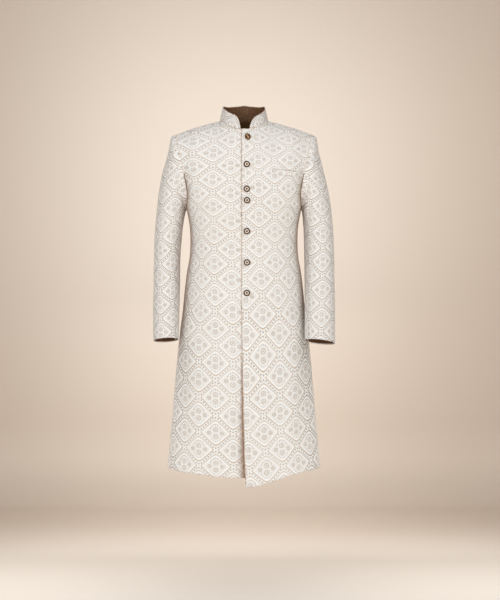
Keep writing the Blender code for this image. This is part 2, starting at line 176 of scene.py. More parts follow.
# Neck and shoulders: the line that the yoke rises to. The collar's oval cuts off its middle
NECK_HALF_WIDTH = 0.0765
NECK_HALF_DEPTH = 0.078
NECK_Y = -0.005
SHOULDER_END = Vector((0.213, 0.0, -0.034))
NECK_TURN = 90 * NECK_HALF_WIDTH / SHOULDER_END.x
SHOULDERS = Table(
    "x y z",
    (0.0000, -0.005, 0.0300),
    (0.0400, -0.005, 0.0225),
    (0.0765, -0.005, 0.0085),
    (0.1250, -0.004, -0.0045),
    (0.1700, -0.002, -0.0185),
    (0.2130, 0.000, -0.0340),
)
BACK_NECK_RISE = 0.010
BACK_NECK_DEPTH = 0.035
ARCH_ROUND = 0.70
NECK_HOLLOW = 0.28
HOLLOW_SCALE = 27 / 4
ARCH_START = 1.15
NECK_TRIALS = 26

# The armhole: an upright oval whose front and back edges cut in towards the chest
ARMHOLE_FRONT = 0.068
ARMHOLE_BACK = 0.074
ARMHOLE_PULL = 3.0
ARMHOLE_START = 0.75
ARMHOLE = Table(
    "z front back",
    (-0.270, 0.1800, 0.1800),
    (-0.225, 0.1760, 0.1800),
    (-0.165, 0.1850, 0.1890),
    (-0.125, 0.1935, 0.1955),
    (-0.080, 0.2035, 0.2040),
    (-0.034, 0.2130, 0.2130),
)

# The sleeves, from the armhole to the cuff: the inner and outer edge of each ring, and its depth
SLEEVE_HEAD = 0.04
RING = "share x_in z_in x_out z_out y half_depth lean"
RIGHT_SLEEVE = Table(
    RING,
    (0.00, 0.1810, -0.271, 0.2180, -0.0325, 0.003, 0.0710, 0.0),
    (0.02, 0.1822, -0.273, 0.2250, -0.0350, 0.003, 0.0715, 0.0),
    (0.04, 0.1835, -0.276, 0.2300, -0.0440, 0.004, 0.0720, 0.0),
    (0.10, 0.1865, -0.288, 0.2385, -0.0880, 0.005, 0.0725, 0.0),
    (0.16, 0.1890, -0.300, 0.2490, -0.1260, 0.006, 0.0725, 0.0),
    (0.22, 0.1910, -0.313, 0.2600, -0.1650, 0.007, 0.0720, 0.0),
    (0.30, 0.1935, -0.330, 0.2695, -0.2200, 0.008, 0.0710, 0.0),
    (0.38, 0.1955, -0.352, 0.2760, -0.2800, 0.009, 0.0690, 0.0),
    (0.47, 0.1990, -0.390, 0.2815, -0.3450, 0.008, 0.0665, 1.5),
    (0.57, 0.2010, -0.440, 0.2835, -0.4150, 0.003, 0.0640, 4.0),
    (0.68, 0.2010, -0.502, 0.2840, -0.4900, -0.010, 0.0610, 6.5),
    (0.79, 0.2015, -0.567, 0.2840, -0.5640, -0.029, 0.0580, 8.0),
    (0.90, 0.2020, -0.629, 0.2830, -0.6280, -0.047, 0.0555, 9.0),
    (1.00, 0.2025, -0.676, 0.2815, -0.6810, -0.061, 0.0540, 9.0),
)
LEFT_SLEEVE = Table(
    RING,
    (0.00, 0.1810, -0.271, 0.2180, -0.0330, 0.003, 0.0710, 0.0),
    (0.02, 0.1820, -0.274, 0.2245, -0.0360, 0.003, 0.0715, 0.0),
    (0.04, 0.1830, -0.278, 0.2290, -0.0455, 0.004, 0.0720, 0.0),
    (0.10, 0.1845, -0.290, 0.2360, -0.0880, 0.005, 0.0720, 0.0),
    (0.16, 0.1855, -0.302, 0.2460, -0.1260, 0.006, 0.0715, 0.0),
    (0.22, 0.1865, -0.315, 0.2555, -0.1650, 0.006, 0.0705, 0.0),
    (0.30, 0.1880, -0.335, 0.2680, -0.2200, 0.006, 0.0690, 0.0),
    (0.38, 0.1890, -0.360, 0.2770, -0.2850, 0.005, 0.0670, 0.0),
    (0.47, 0.1895, -0.398, 0.2820, -0.3500, 0.001, 0.0645, 2.0),
    (0.57, 0.1900, -0.448, 0.2835, -0.4200, -0.008, 0.0615, 5.0),
    (0.68, 0.1900, -0.508, 0.2840, -0.4950, -0.026, 0.0580, 7.5),
    (0.79, 0.1895, -0.571, 0.2840, -0.5680, -0.048, 0.0545, 9.0),
    (0.90, 0.1885, -0.632, 0.2830, -0.6330, -0.068, 0.0520, 10.0),
    (1.00, 0.1880, -0.678, 0.2825, -0.6890, -0.083, 0.0505, 10.0),
)
UNDER_SLEEVE_TURN = 40.0
SLEEVE_SEAM_TURN = 0.22
SLEEVE_ROW_SPREAD = 1.25
RIGHT = -1
LEFT = 1

# The band collar
COLLAR_HEIGHT = 0.049
COLLAR_LEAN = 0.0110
COLLAR_WALL = 0.0026
COLLAR_RIGHT_END = -8.0
COLLAR_LEFT_END = 13.5
COLLAR_FRONT_RIGHT = 0.041
COLLAR_FRONT_LEFT = 0.0345
COLLAR_CURVE_RIGHT = 0.024
COLLAR_CURVE_LEFT = 0.030
COLLAR_CURVE_POWER = 0.60
COLLAR_TIP_HEIGHT = 0.006
COLLAR_RISE_START = 62.0
COLLAR_RISE_END = 112.0
COLLAR_TIP_TURN = 26.0
NECKLINE_STEPS = 14


# %% Buttons and pocket
# Buttons: the oval top one, then the round ones
Button = namedtuple("Button", "x z half_width half_height")
ROUND_RADIUS = 0.0098
ROUND_PLACES = (
    (0.0092, -0.1368),
    (0.0090, -0.2130),
    (0.0100, -0.2480),
    (0.0095, -0.3425),
    (0.0095, -0.4390),
    (0.0093, -0.5326),
)
OVAL = Button(0.0120, -0.0500, 0.0087, 0.0108)
BUTTONS = (OVAL, *[Button(x, z, ROUND_RADIUS, ROUND_RADIUS) for x, z in ROUND_PLACES])
BUTTON_GAP = 0.0007

# The breast pocket's welt
WELT_INNER = Vector((0.089, 0.0, -0.1535))
WELT_OUTER = Vector((0.166, 0.0, -0.1600))
WELT_DEEP = 0.014
WELT_WALL = 0.0016


# %% [markdown]
# ## Places on the coat
#
# The skirt and the waist are level sections: ovals, a little squarer over the chest. Above the
# armpit the cloth leans in over the shoulder until it meets the armhole and the collar. Each
# helper takes whole grids of numbers at once and gives back whole grids of points, so ten
# thousand places on the coat cost no more than one.

# %% Sections, shoulders and sleeves
def points_of(x, y, z):
    """Three grids of numbers as one grid of points."""
    return np.stack(np.broadcast_arrays(x, y, z), axis=-1).astype(float)


def ease(value):
    """A soft step from 0 to 1."""
    value = np.clip(value, 0.0, 1.0)
    return value * value * (3 - 2 * value)


def wrapped(turn):
    """The same turn, from -180 to 180."""
    return (turn + 180) % 360 - 180


def section(turn, z):
    """The outside at one height. Turn is 0 in front, 90 at the wearer's left, 180 behind."""
    across, along = np.sin(np.radians(turn)), -np.cos(np.radians(turn))
    depth = np.where(along < 0, BODY.read("front", z), BODY.read("back", z))
    square = BODY.read("square", z)
    width = BODY.read("half_width", z)
    reach = (np.abs(across / width) ** square + np.abs(along / depth) ** square) ** (-1 / square)
    return points_of(reach * across, reach * along, z)


def ridge(x, in_front):
    """The line that the front and the back rise to. Between the necklines each has its own."""
    inside = np.where(in_front, 0, np.maximum(1 - (x / NECK_HALF_WIDTH) ** 2, 0) ** 1.5)
    y = SHOULDERS.read("y", x) + BACK_NECK_DEPTH * inside
    return points_of(x, y, SHOULDERS.read("z", x) + BACK_NECK_RISE * inside)


def armhole(side, turn):
    """The armhole's edge. Turn is 0 under the arm, 90 in front, 180 at the top, 270 behind."""
    middle, half = (SHOULDER_END.z + ARMPIT) / 2, (SHOULDER_END.z - ARMPIT) / 2
    forward = np.sin(np.radians(turn))
    z = middle - half * np.cos(np.radians(turn))
    x = np.where(forward >= 0, ARMHOLE.read("front", z), ARMHOLE.read("back", z))
    return points_of(side * x, -forward * np.where(forward >= 0, ARMHOLE_FRONT, ARMHOLE_BACK), z)


def halves(turn):
    """The side of each turn, whether it is in front, and how far it is from the middle."""
    in_front = np.abs(turn) <= 90
    return np.copysign(1, turn), in_front, np.where(in_front, np.abs(turn), 180 - np.abs(turn))


def arch(turn, climb):
    """The yoke with nothing cut out: columns that rise from the chest and lean in on top."""
    side, in_front, away = halves(turn)
    low = section(turn, np.full_like(climb, ARMPIT))
    high = ridge(SHOULDER_END.x * away / 90, in_front)
    angle = np.radians(90) * climb**ARCH_START
    beside_neck = np.minimum(high[..., 0] / NECK_HALF_WIDTH, 2) / 2
    hollow = NECK_HOLLOW * HOLLOW_SCALE * beside_neck**2 * (1 - beside_neck)
    lean = 1 - np.abs(np.cos(angle)) ** (ARCH_ROUND + np.where(in_front, hollow, 0))
    rise = np.sin(angle)
    x = low[..., 0] + (side * high[..., 0] - low[..., 0]) * rise
    y = low[..., 1] + (high[..., 1] - low[..., 1]) * lean
    return points_of(x, y, low[..., 2] + (high[..., 2] - low[..., 2]) * rise)


def yoke(turn, climb):
    """The coat above the armpit, with its edge drawn in to the armhole."""
    turn, climb = np.broadcast_arrays(np.asarray(turn, float), np.asarray(climb, float))
    side, in_front, away = halves(turn)
    around = 180 * climb**ARMHOLE_START
    pull = armhole(side, np.where(in_front, around, 360 - around)) - arch(side * 90, climb)
    return arch(turn, climb) + (away[..., None] / 90) ** ARMHOLE_PULL * pull


def neck_climb(turn):
    """How far each column climbs before it meets the collar, or 1 where it reaches the shoulder."""
    away = np.minimum(np.abs(turn), 180 - np.abs(turn))
    low, high = np.full_like(away, 0.3), np.full_like(away, 1.0)
    for _ in range(NECK_TRIALS):
        middle = (low + high) / 2
        point = yoke(turn, middle)
        oval = (point[..., 0] / NECK_HALF_WIDTH) ** 2
        outside = oval + ((point[..., 1] - NECK_Y) / NECK_HALF_DEPTH) ** 2 > 1
        low, high = np.where(outside, middle, low), np.where(outside, high, middle)
    return np.where(away > NECK_TURN - 0.001, 1.0, low)


def body(turn, level, drop):
    """The coat's outside. Level is 0 at the hem, 1 at the armpit, 2 at neckline and shoulders."""
    turn, level = np.broadcast_arrays(np.asarray(turn, float), np.asarray(level, float))
    forward = np.maximum(np.cos(np.radians(turn)), 0)
    hem = SIDE_HEM - drop.depth * forward**drop.gather
    skirt = section(turn, hem + (ARMPIT - hem) * np.minimum(level, 1))
    top = yoke(wrapped(turn), np.clip(level - 1, 0, 1) * neck_climb(wrapped(turn)))
    return np.where(level[..., None] <= 1, skirt, top)


def lap_turn(z, column):
    """The turn at which a front edge lies, at one height."""
    return np.degrees(np.arctan2(LAPS.read(column, z), BODY.read("front", np.minimum(z, ARMPIT))))


def collar_foot():
    """The height of the neckline all round one side, as a table of the turn about the neck."""
    away = np.linspace(0, NECK_TURN, NECKLINE_STEPS + 1)
    turns = np.concatenate([away, (180 - away)[::-1]])
    point = yoke(turns, neck_climb(turns))
    along = (NECK_Y - point[:, 1]) / NECK_HALF_DEPTH
    about = np.degrees(np.arctan2(point[:, 0] / NECK_HALF_WIDTH, along))
    kept = np.delete(np.arange(len(turns)), len(away))
    return Table("turn z", *zip(about[kept], point[kept, 2]))


COLLAR_FOOT = collar_foot()


def neck(turn):
    """The neckline, where the collar stands. Turn is 0 in front and 180 behind."""
    x = NECK_HALF_WIDTH * np.sin(np.radians(turn))
    y = NECK_Y - NECK_HALF_DEPTH * np.cos(np.radians(turn))
    return points_of(x, y, COLLAR_FOOT.read("z", np.abs(wrapped(turn))))


def collar_height(turn):
    """The collar's height: lower in front than behind, with a round corner at each end."""
    on_left = turn < 180
    away = np.where(on_left, turn, 360 - turn)
    from_tip = np.where(on_left, turn - COLLAR_LEFT_END, 360 + COLLAR_RIGHT_END - turn)
    front = np.where(on_left, COLLAR_FRONT_LEFT, COLLAR_FRONT_RIGHT)
    curve = np.where(on_left, COLLAR_CURVE_LEFT, COLLAR_CURVE_RIGHT)
    rise = ease((away - COLLAR_RISE_START) / (COLLAR_RISE_END - COLLAR_RISE_START))
    corner = 1 - (1 - np.minimum(NECK_HALF_DEPTH * np.radians(from_tip) / curve, 1)) ** 2
    height = (front + (COLLAR_HEIGHT - front) * rise) * np.maximum(corner, 0) ** COLLAR_CURVE_POWER
    return np.maximum(height, COLLAR_TIP_HEIGHT)


def sleeve_ring(rings, side, turn, share):
    """A sleeve's outside. Turn is 0 next to the body, 90 in front, 180 outside, 270 behind."""
    x_in, z_in = rings.read("x_in", share), rings.read("z_in", share)
    x_out, z_out = rings.read("x_out", share), rings.read("z_out", share)
    inward = (1 + np.cos(np.radians(turn))) / 2
    forward = np.sin(np.radians(turn)) * rings.read("half_depth", share)
    lean = np.radians(rings.read("lean", share))
    y = rings.read("y", share) - forward * np.cos(lean)
    z = z_out + (z_in - z_out) * inward + forward * np.sin(lean)
    ring = points_of(side * (x_out + (x_in - x_out) * inward), y, z)
    seam = armhole(side, turn) + np.array([side * ARMHOLE_GAP, 0, 0])
    return seam + (ring - seam) * ease(share / SLEEVE_HEAD)[..., None]


print(f"the neckline's lowest point is {COLLAR_FOOT.read('z', 0.0) * 1000:.1f} mm")

# %% [markdown]
# ## How the woven figure lies on the cloth
#
# The brocade's figure repeats every hand's breadth, and on a real coat it runs dead straight down
# each cut piece. So every point needs to know how far across and how far down the flat cloth it
# lies. Blender's unwrap would find islands of its own and turn them as it likes. Instead the
# coat is sliced at many heights: the length of a slice from the piece's middle gives "across",
# and the distance from slice to slice, square to them, gives "down".

# %% Unrolling a curved piece
SLICES = 150
SHOULDER_SLICES = 160
SLICE_COLUMNS = 121
SLEEVE_SLICE_COLUMNS = 181
SHOULDER_SLOPE = -0.075
HIGHEST_SLICE = 0.029
SLEEVE_REACH = -0.70, -0.036


class Unrolled:
    """How far across and down the flat cloth each point of a curved piece lies."""

    def __init__(self, turns, outside, heights):
        """Turns start at the piece's middle. Outside gives points for turns and shares climbed."""
        climbs = np.linspace(0, 1, 2 * len(heights))
        columns = [outside(np.full(len(climbs), turn), climbs) for turn in turns]
        upward = [column[np.argsort(column[:, 2], kind="stable")] for column in columns]
        slices = np.array(
            [[np.interp(heights, c[:, 2], c[:, k]) for k in range(2)] for c in upward]
        )
        steps = np.diff(slices, axis=0)
        lengths = np.linalg.norm(steps, axis=1)
        self.turns, self.heights = turns, heights
        self.across = np.concatenate([np.zeros((1, len(heights))), np.cumsum(lengths, axis=0)])
        along = np.gradient(slices, axis=0)
        along /= np.maximum(np.linalg.norm(along, axis=1, keepdims=True), 1e-9)
        climb = np.gradient(slices, heights, axis=2)
        square = climb - along * np.sum(climb * along, axis=1, keepdims=True)
        risen = np.sqrt(1 + np.sum(square**2, axis=1))
        inside = (heights > [[c[0, 2]] for c in upward]) & (heights < [[c[-1, 2]] for c in upward])
        self.down = np.cumsum(np.where(inside, risen, 1) * np.gradient(heights), axis=1)
        self.down += heights[0] - self.down[:, :1]

    def read(self, turn, z):
        """The places across and down for grids of turns and heights."""
        i, k = [
            np.clip(np.interp(at, stops, np.arange(len(stops))), 0, len(stops) - 1.001)
            for at, stops in ((turn, self.turns), (z, self.heights))
        ]
        i0, k0 = i.astype(int), k.astype(int)
        di, dk = i - i0, k - k0
        found = []
        for table in (self.across, self.down):
            low = table[i0, k0] * (1 - di) + table[i0 + 1, k0] * di
            high = table[i0, k0 + 1] * (1 - di) + table[i0 + 1, k0 + 1] * di
            found.append(low * (1 - dk) + high * dk)
        return found


def whole_body(turn, climb):
    """The body from below the hem to the ridge, with no neckline cut out."""
    share = np.clip(climb * 2, 0, 1)
    low = BODY.keys[0] + (ARMPIT - BODY.keys[0]) * share
    top = yoke(turn, np.clip(climb * 2 - 1, 0, 1))
    return np.where(climb[:, None] <= 0.5, section(turn, low), top)


def whole_sleeve(rings, side):
    """A sleeve from its armhole to its cuff, counted from the outside of the arm."""

    def outside(turn, climb):
        return sleeve_ring(rings, side, (180 + turn) % 360, (1 - climb) ** SLEEVE_ROW_SPREAD)

    return outside


lower = np.linspace(BODY.keys[0], SHOULDER_SLOPE, SLICES, endpoint=False)
upper = np.linspace(SHOULDER_SLOPE, HIGHEST_SLICE, SHOULDER_SLICES)
body_heights = np.concatenate([lower, upper])
sleeve_heights = np.linspace(*SLEEVE_REACH, SLICES)
quarter = np.linspace(0, 90, SLICE_COLUMNS)
half_round = np.linspace(0, 180, SLEEVE_SLICE_COLUMNS)
FRONT_FLAT = Unrolled(quarter, whole_body, body_heights)
BACK_FLAT = Unrolled(quarter, lambda turn, climb: whole_body(180 - turn, climb), body_heights)
SLEEVE_FLAT = {
    side: Unrolled(half_round, whole_sleeve(rings, side), sleeve_heights)
    for side, rings in ((RIGHT, RIGHT_SLEEVE), (LEFT, LEFT_SLEEVE))
}
half_chest, _ = FRONT_FLAT.read(np.array(90.0), np.array(ARMPIT))
print(f"half of the chest's front is {float(half_chest) * 1000:.0f} mm of cloth")

# %% [markdown]
# The weaver's repeat is a little shorter over the chest than on the skirt, because a tailor eases
# cloth in at the waist, and it is shortest at the shoulders. The two fronts were cut from
# different lengths of cloth, so their lozenges don't meet at the opening. Each row of a chart
# says how large a repeat is at that height, where a column of lozenges runs, how far the rows
# drop toward the front edge, and how much cloth is eased in toward the side.

# %% The repeat of the figure
Chart = namedtuple("Chart", "measures first_row")
CHART_COLUMNS = "z wide high column tilt eased"
CHARTS = {
    "left": Chart(
        Table(
            CHART_COLUMNS,
            (-1.140, 0.1065, 0.1085, 0.0737, 0.12, 0.0),
            (-1.060, 0.1060, 0.1085, 0.0697, 0.12, 0.0),
            (-0.940, 0.1050, 0.1090, 0.0617, 0.12, 0.0),
            (-0.840, 0.1040, 0.1130, 0.0607, 0.12, 0.0),
            (-0.760, 0.1040, 0.1340, 0.0603, 0.09, 0.0),
            (-0.700, 0.1040, 0.1330, 0.0598, 0.08, 0.0),
            (-0.650, 0.1038, 0.1200, 0.0592, 0.06, 0.0),
            (-0.600, 0.1035, 0.1185, 0.0585, 0.05, 0.1),
            (-0.540, 0.1030, 0.1120, 0.0575, 0.04, 0.6),
            (-0.490, 0.1020, 0.1010, 0.0540, 0.03, 0.6),
            (-0.430, 0.1010, 0.0960, 0.0485, 0.02, 0.4),
            (-0.300, 0.1005, 0.0905, 0.0470, 0.00, 0.4),
            (-0.190, 0.1005, 0.0900, 0.0455, 0.00, 0.5),
            (-0.110, 0.1005, 0.0830, 0.0440, 0.00, 0.0),
            (-0.060, 0.1005, 0.0620, 0.0400, 0.00, 0.0),
            (0.060, 0.1005, 0.0620, 0.0400, 0.00, 0.0),
        ),
        -0.4850,
    ),
    "right": Chart(
        Table(
            CHART_COLUMNS,
            (-1.140, 0.1092, 0.1010, -0.0850, 0.00, 0.0),
            (-1.040, 0.1092, 0.1010, -0.0860, 0.03, 0.0),
            (-0.940, 0.1092, 0.1050, -0.0872, 0.05, 0.0),
            (-0.870, 0.1092, 0.1080, -0.0876, 0.05, 0.0),
            (-0.780, 0.1092, 0.1066, -0.0881, 0.05, 0.0),
            (-0.650, 0.1092, 0.1058, -0.0886, 0.05, 0.0),
            (-0.590, 0.1094, 0.1052, -0.0895, 0.05, 0.4),
            (-0.530, 0.1100, 0.0990, -0.0905, 0.05, 1.0),
            (-0.470, 0.1120, 0.0935, -0.0937, 0.05, 1.0),
            (-0.410, 0.1120, 0.0930, -0.0940, 0.05, 1.0),
            (-0.350, 0.1118, 0.0870, -0.0942, 0.04, 1.0),
            (-0.260, 0.1115, 0.0830, -0.0960, 0.02, 0.6),
            (-0.180, 0.1115, 0.0850, -0.0965, 0.00, -0.1),
            (-0.100, 0.1110, 0.0840, -0.0950, 0.00, -0.5),
            (-0.050, 0.1110, 0.0690, -0.0930, 0.00, -0.5),
            (0.060, 0.1110, 0.0690, -0.0930, 0.00, -0.5),
        ),
        -0.5350,
    ),
    "back": Chart(
        Table(
            CHART_COLUMNS,
            (-1.140, 0.1040, 0.1050, 0.0, 0.0, 0.0),
            (-0.600, 0.1040, 0.1050, 0.0, 0.0, 0.3),
            (-0.470, 0.1040, 0.0940, 0.0, 0.0, 0.8),
            (-0.300, 0.1040, 0.0935, 0.0, 0.0, 0.8),
            (-0.160, 0.1040, 0.0930, 0.0, 0.0, 0.0),
            (-0.060, 0.1040, 0.0760, 0.0, 0.0, 0.0),
            (0.060, 0.1040, 0.0760, 0.0, 0.0, 0.0),
        ),
        -0.5300,
    ),
}
TILT_MIDDLE = 0.11
EASED_FROM, EASED_FULLY, EASED = 0.08, 0.15, 0.5
SleeveChart = namedtuple("SleeveChart", "measures first_row wide high")
SLEEVE_CHARTS = {
    RIGHT: SleeveChart(
        Table(
            "z column tilt",
            (-0.700, -0.1065, 0.05),
            (-0.460, -0.1070, 0.10),
            (-0.360, -0.1100, 0.20),
            (-0.270, -0.1045, 0.20),
            (-0.200, -0.1020, 0.25),
            (-0.130, -0.1000, 0.40),
            (-0.040, -0.1000, 0.40),
        ),
        -0.3410,
        0.0880,
        0.0880,
    ),
    LEFT: SleeveChart(
        Table(
            "z column tilt",
            (-0.700, -0.1215, 0.00),
            (-0.600, -0.1220, 0.00),
            (-0.520, -0.1230, 0.00),
            (-0.340, -0.1230, 0.08),
            (-0.260, -0.1180, 0.25),
            (-0.200, -0.1100, 0.40),
            (-0.150, -0.1080, 0.45),
            (-0.040, -0.1080, 0.45),
        ),
        -0.4670,
        0.0880,
        0.0905,
    ),
}
FINE_FROM, FINE_TO, FINE_STEPS = -1.20, 0.20, 1401


def eased(across):
    """The cloth that is eased in at the waist, from a hand's breadth off the front edge on."""
    ramp = np.clip(across - EASED_FROM, 0, EASED_FULLY - EASED_FROM)
    ramped = ramp**2 / (2 * (EASED_FULLY - EASED_FROM))
    return EASED * (ramped + np.maximum(across - EASED_FULLY, 0))


def figure_on_body(flat, panel, turn, points):
    """The figure's repeats across and down, for points of the body."""
    measures, first_row = CHARTS[panel]
    fine = np.linspace(FINE_FROM, FINE_TO, FINE_STEPS)
    rows = np.cumsum(np.gradient(fine) / measures.read("high", fine))
    rows -= np.interp(first_row, fine, rows)
    turn = wrapped(turn)
    counted = 180 - np.abs(turn) if panel == "back" else np.abs(turn)
    across, down = flat.read(counted, points[..., 2])
    row = down + measures.read("tilt", down) * (TILT_MIDDLE - across)
    across = across + eased(across) * measures.read("eased", down)
    column = measures.read("column", down)
    u = (np.sign(turn) * across - column) / measures.read("wide", down)
    return u, np.interp(row, fine, rows)


def figure_on_sleeve(side, turn, points):
    """The figure's repeats across and down, for points of a sleeve."""
    chart = SLEEVE_CHARTS[side]
    away = (turn % 360) - 180
    across, down = SLEEVE_FLAT[side].read(np.abs(away), points[..., 2])
    u = (np.sign(away) * across - chart.measures.read("column", down)) / chart.wide
    row = down + chart.measures.read("tilt", down) * (TILT_MIDDLE - across)
    return u, (row - chart.first_row) / chart.high


print(f"repeats on the sleeves: {SLEEVE_CHARTS[LEFT].wide * 1000:.0f} mm across")
# %% [markdown]
# ## Shader sums that read as sums
#
# A woven figure is a formula: lines at set distances from a lozenge, rounds at set places. Wired
# by hand it would be a hundred Math nodes. The small class below wraps a socket, so that
# `1 - line * 0.5` adds the nodes by itself, and `node` makes any other node in one call.

# %% A socket that can be calculated with
class Value:
    """A number or colour on its way through a material's nodes."""

    def __init__(self, tree, socket=None):
        self.tree, self.socket = tree, socket

    def node(self, kind, settings, sockets, output=0):
        """Any node: its settings come first, then the values or links of its sockets."""
        made = self.tree.nodes.new(kind)
        for name, setting in settings.items():
            setattr(made, name, setting)
        for name, given in sockets.items():
            if isinstance(given, Value):
                self.tree.links.new(given.socket, made.inputs[name])
            else:
                made.inputs[name].default_value = given
        return Value(self.tree, made.outputs[output])

    def sum(self, operation, *others):
        return self.node("ShaderNodeMath", {"operation": operation}, dict(enumerate(others)))

    def __rsub__(self, other):
        return self.sum("SUBTRACT", other, self)

    def step(self, low, high):
        """A soft step, from 0 at low to 1 at high. Low may be the larger of the two."""
        settings = {"interpolation_type": "SMOOTHSTEP"}
        span = {"Value": self, "From Min": low, "From Max": high}
        if low > high:
            span.update({"From Min": high, "From Max": low, "To Min": 1.0, "To Max": 0.0})
        return self.node("ShaderNodeMapRange", settings, span)

    def mixed(self, share, other, blend="MIX"):
        """This colour with a share of another mixed in."""
        settings = {"data_type": "RGBA", "blend_type": blend}
        return self.node("ShaderNodeMix", settings, {0: share, 6: self, 7: other}, output=2)


def calculation(operation):
    """A method of Value that adds one Math node."""
    return lambda value, *others: value.sum(operation, value, *others)


CALCULATIONS = {
    "__add__": "ADD",
    "__radd__": "ADD",
    "__sub__": "SUBTRACT",
    "__mul__": "MULTIPLY",
    "__rmul__": "MULTIPLY",
    "__truediv__": "DIVIDE",
    "__pow__": "POWER",
    "__gt__": "GREATER_THAN",
    "__abs__": "ABSOLUTE",
    "fraction": "FRACT",
    "root": "SQRT",
    "cosine": "COSINE",
    "most": "MAXIMUM",
    "angle_to": "ARCTAN2",
}
for method, operation in CALCULATIONS.items():
    setattr(Value, method, calculation(operation))


def near(distance, middle, half_width, soft):
    """A line on a field of distances: 1 within the half width of its middle."""
    return abs(distance - middle).step(half_width + soft, half_width - soft)


def linear(red, green, blue):
    """A colour as paint charts give it, from 0 to 255, in the values that light is summed in."""
    parts = [part / 255 for part in (red, green, blue)]
    lit = [part / 12.92 if part < 0.04045 else ((part + 0.055) / 1.055) ** 2.4 for part in parts]
    return [*lit, 1.0]


def new_material(name):
    """A material with its tree, its main shader, and a Value to begin sums with."""
    material = bpy.data.materials.new(name)
    material.use_nodes = True
    shader = material.node_tree.nodes["Principled BSDF"]
    return material, shader, Value(material.node_tree)


def plug(shader, name, value):
    """Links a Value into one socket of a shader."""
    value.tree.links.new(value.socket, shader.inputs[name])


def plain(start, colour):
    """One colour for others to be mixed into."""
    return start.node("ShaderNodeMix", {"data_type": "RGBA"}, {0: 0.0, 6: colour}, output=2)


def noise(start, scale, detail):
    """Soft random clouds, smaller as the scale is larger."""
    place = start.node("ShaderNodeTexCoord", {}, {}, output=3)
    return start.node("ShaderNodeTexNoise", {}, {"Vector": place, "Scale": scale, "Detail": detail})


def tone_of(start, name):
    """A tone that the mesh carries at each of its points."""
    return start.node("ShaderNodeAttribute", {"attribute_name": name}, {}, output=2)


def two_tone(name, dark, light, clouds, steps, share, **sockets):
    """A material of one colour, with a share of a lighter one in its clouds."""
    material, shader, start = new_material(name)
    cloud = noise(start, *clouds).step(*steps) * share
    colour = plain(start, linear(*dark)).mixed(cloud, linear(*light))
    plug(shader, "Base Color", colour)
    for socket, value in sockets.items():
        shader.inputs[socket.replace("_", " ")].default_value = value
    return material


# %% [markdown]
# ## The brocade
#
# The figure is a traditional lattice: lozenges with rounded tops in a half drop, bands of small
# spots between them, and four florets in each. It is the same in all four quarters of a lozenge,
# so the coordinates are folded into one quarter and each form is drawn once. Distances are in
# millimetres of a nominal 104 mm repeat, which keeps the rounds round where the repeat stretches.
# An image texture would be quicker, but it would blur close up and carry its own light. The
# lining is a plain brown satin with a faint gold fleck.

# %% Colours and sizes of the figure
IVORY = linear(243, 242, 239)
WHITE_SILK = linear(253, 254, 255)
BEIGE = linear(182, 142, 92)
GREY = linear(128, 120, 112)
WARM_GREY = linear(168, 146, 122)
SHADE = linear(158, 106, 56)
LINE_SHADE = linear(92, 70, 50)

HALF_REPEAT = 52.0
LOZENGE_WIDE = 45.5
LOZENGE_HIGH = 44.6
LOZENGE_ROUND = 7.4
OUTLINE = 1.1
RAISED_LINE = (-4.0, 1.7)
SPOT_PITCH, SPOT, LAST_SPOT = 9.9, 2.2, 28.0
HEAD_SPOT = 6.0
Floret = namedtuple("Floret", "place radius petals seam seam_wide rim rim_wide eye")
TOP_FLORET = Floret(10.4, 8.6, 8, 5.4, 1.5, 7.4, 0.9, 3.0)
SIDE_FLORET = Floret(19.5, 6.9, 6, 4.2, 1.4, 5.8, 0.8, 2.8)
ARC, ARC_WIDE, ARC_SPOTS = 15.6, 1.9, 14
THREADS = 190


def floret(form, along, beside):
    """A floret's distance and angle fields, and the masks of its whole, its seams and its rims."""
    along = along - form.place
    away = (along * along + beside * beside).root()
    angle = beside.angle_to(along)
    petals = (angle * form.petals).cosine()
    whole = (away + petals * 0.5).step(form.radius + 0.5, form.radius - 0.5)
    seams = petals.step(0.0, 0.7) * near(away, form.seam, form.seam_wide, 0.5)
    rims = near(away + petals * 0.4, form.rim, form.rim_wide, 0.4)
    return away, angle, whole, seams, rims.most(away.step(form.eye, form.eye - 1.2))


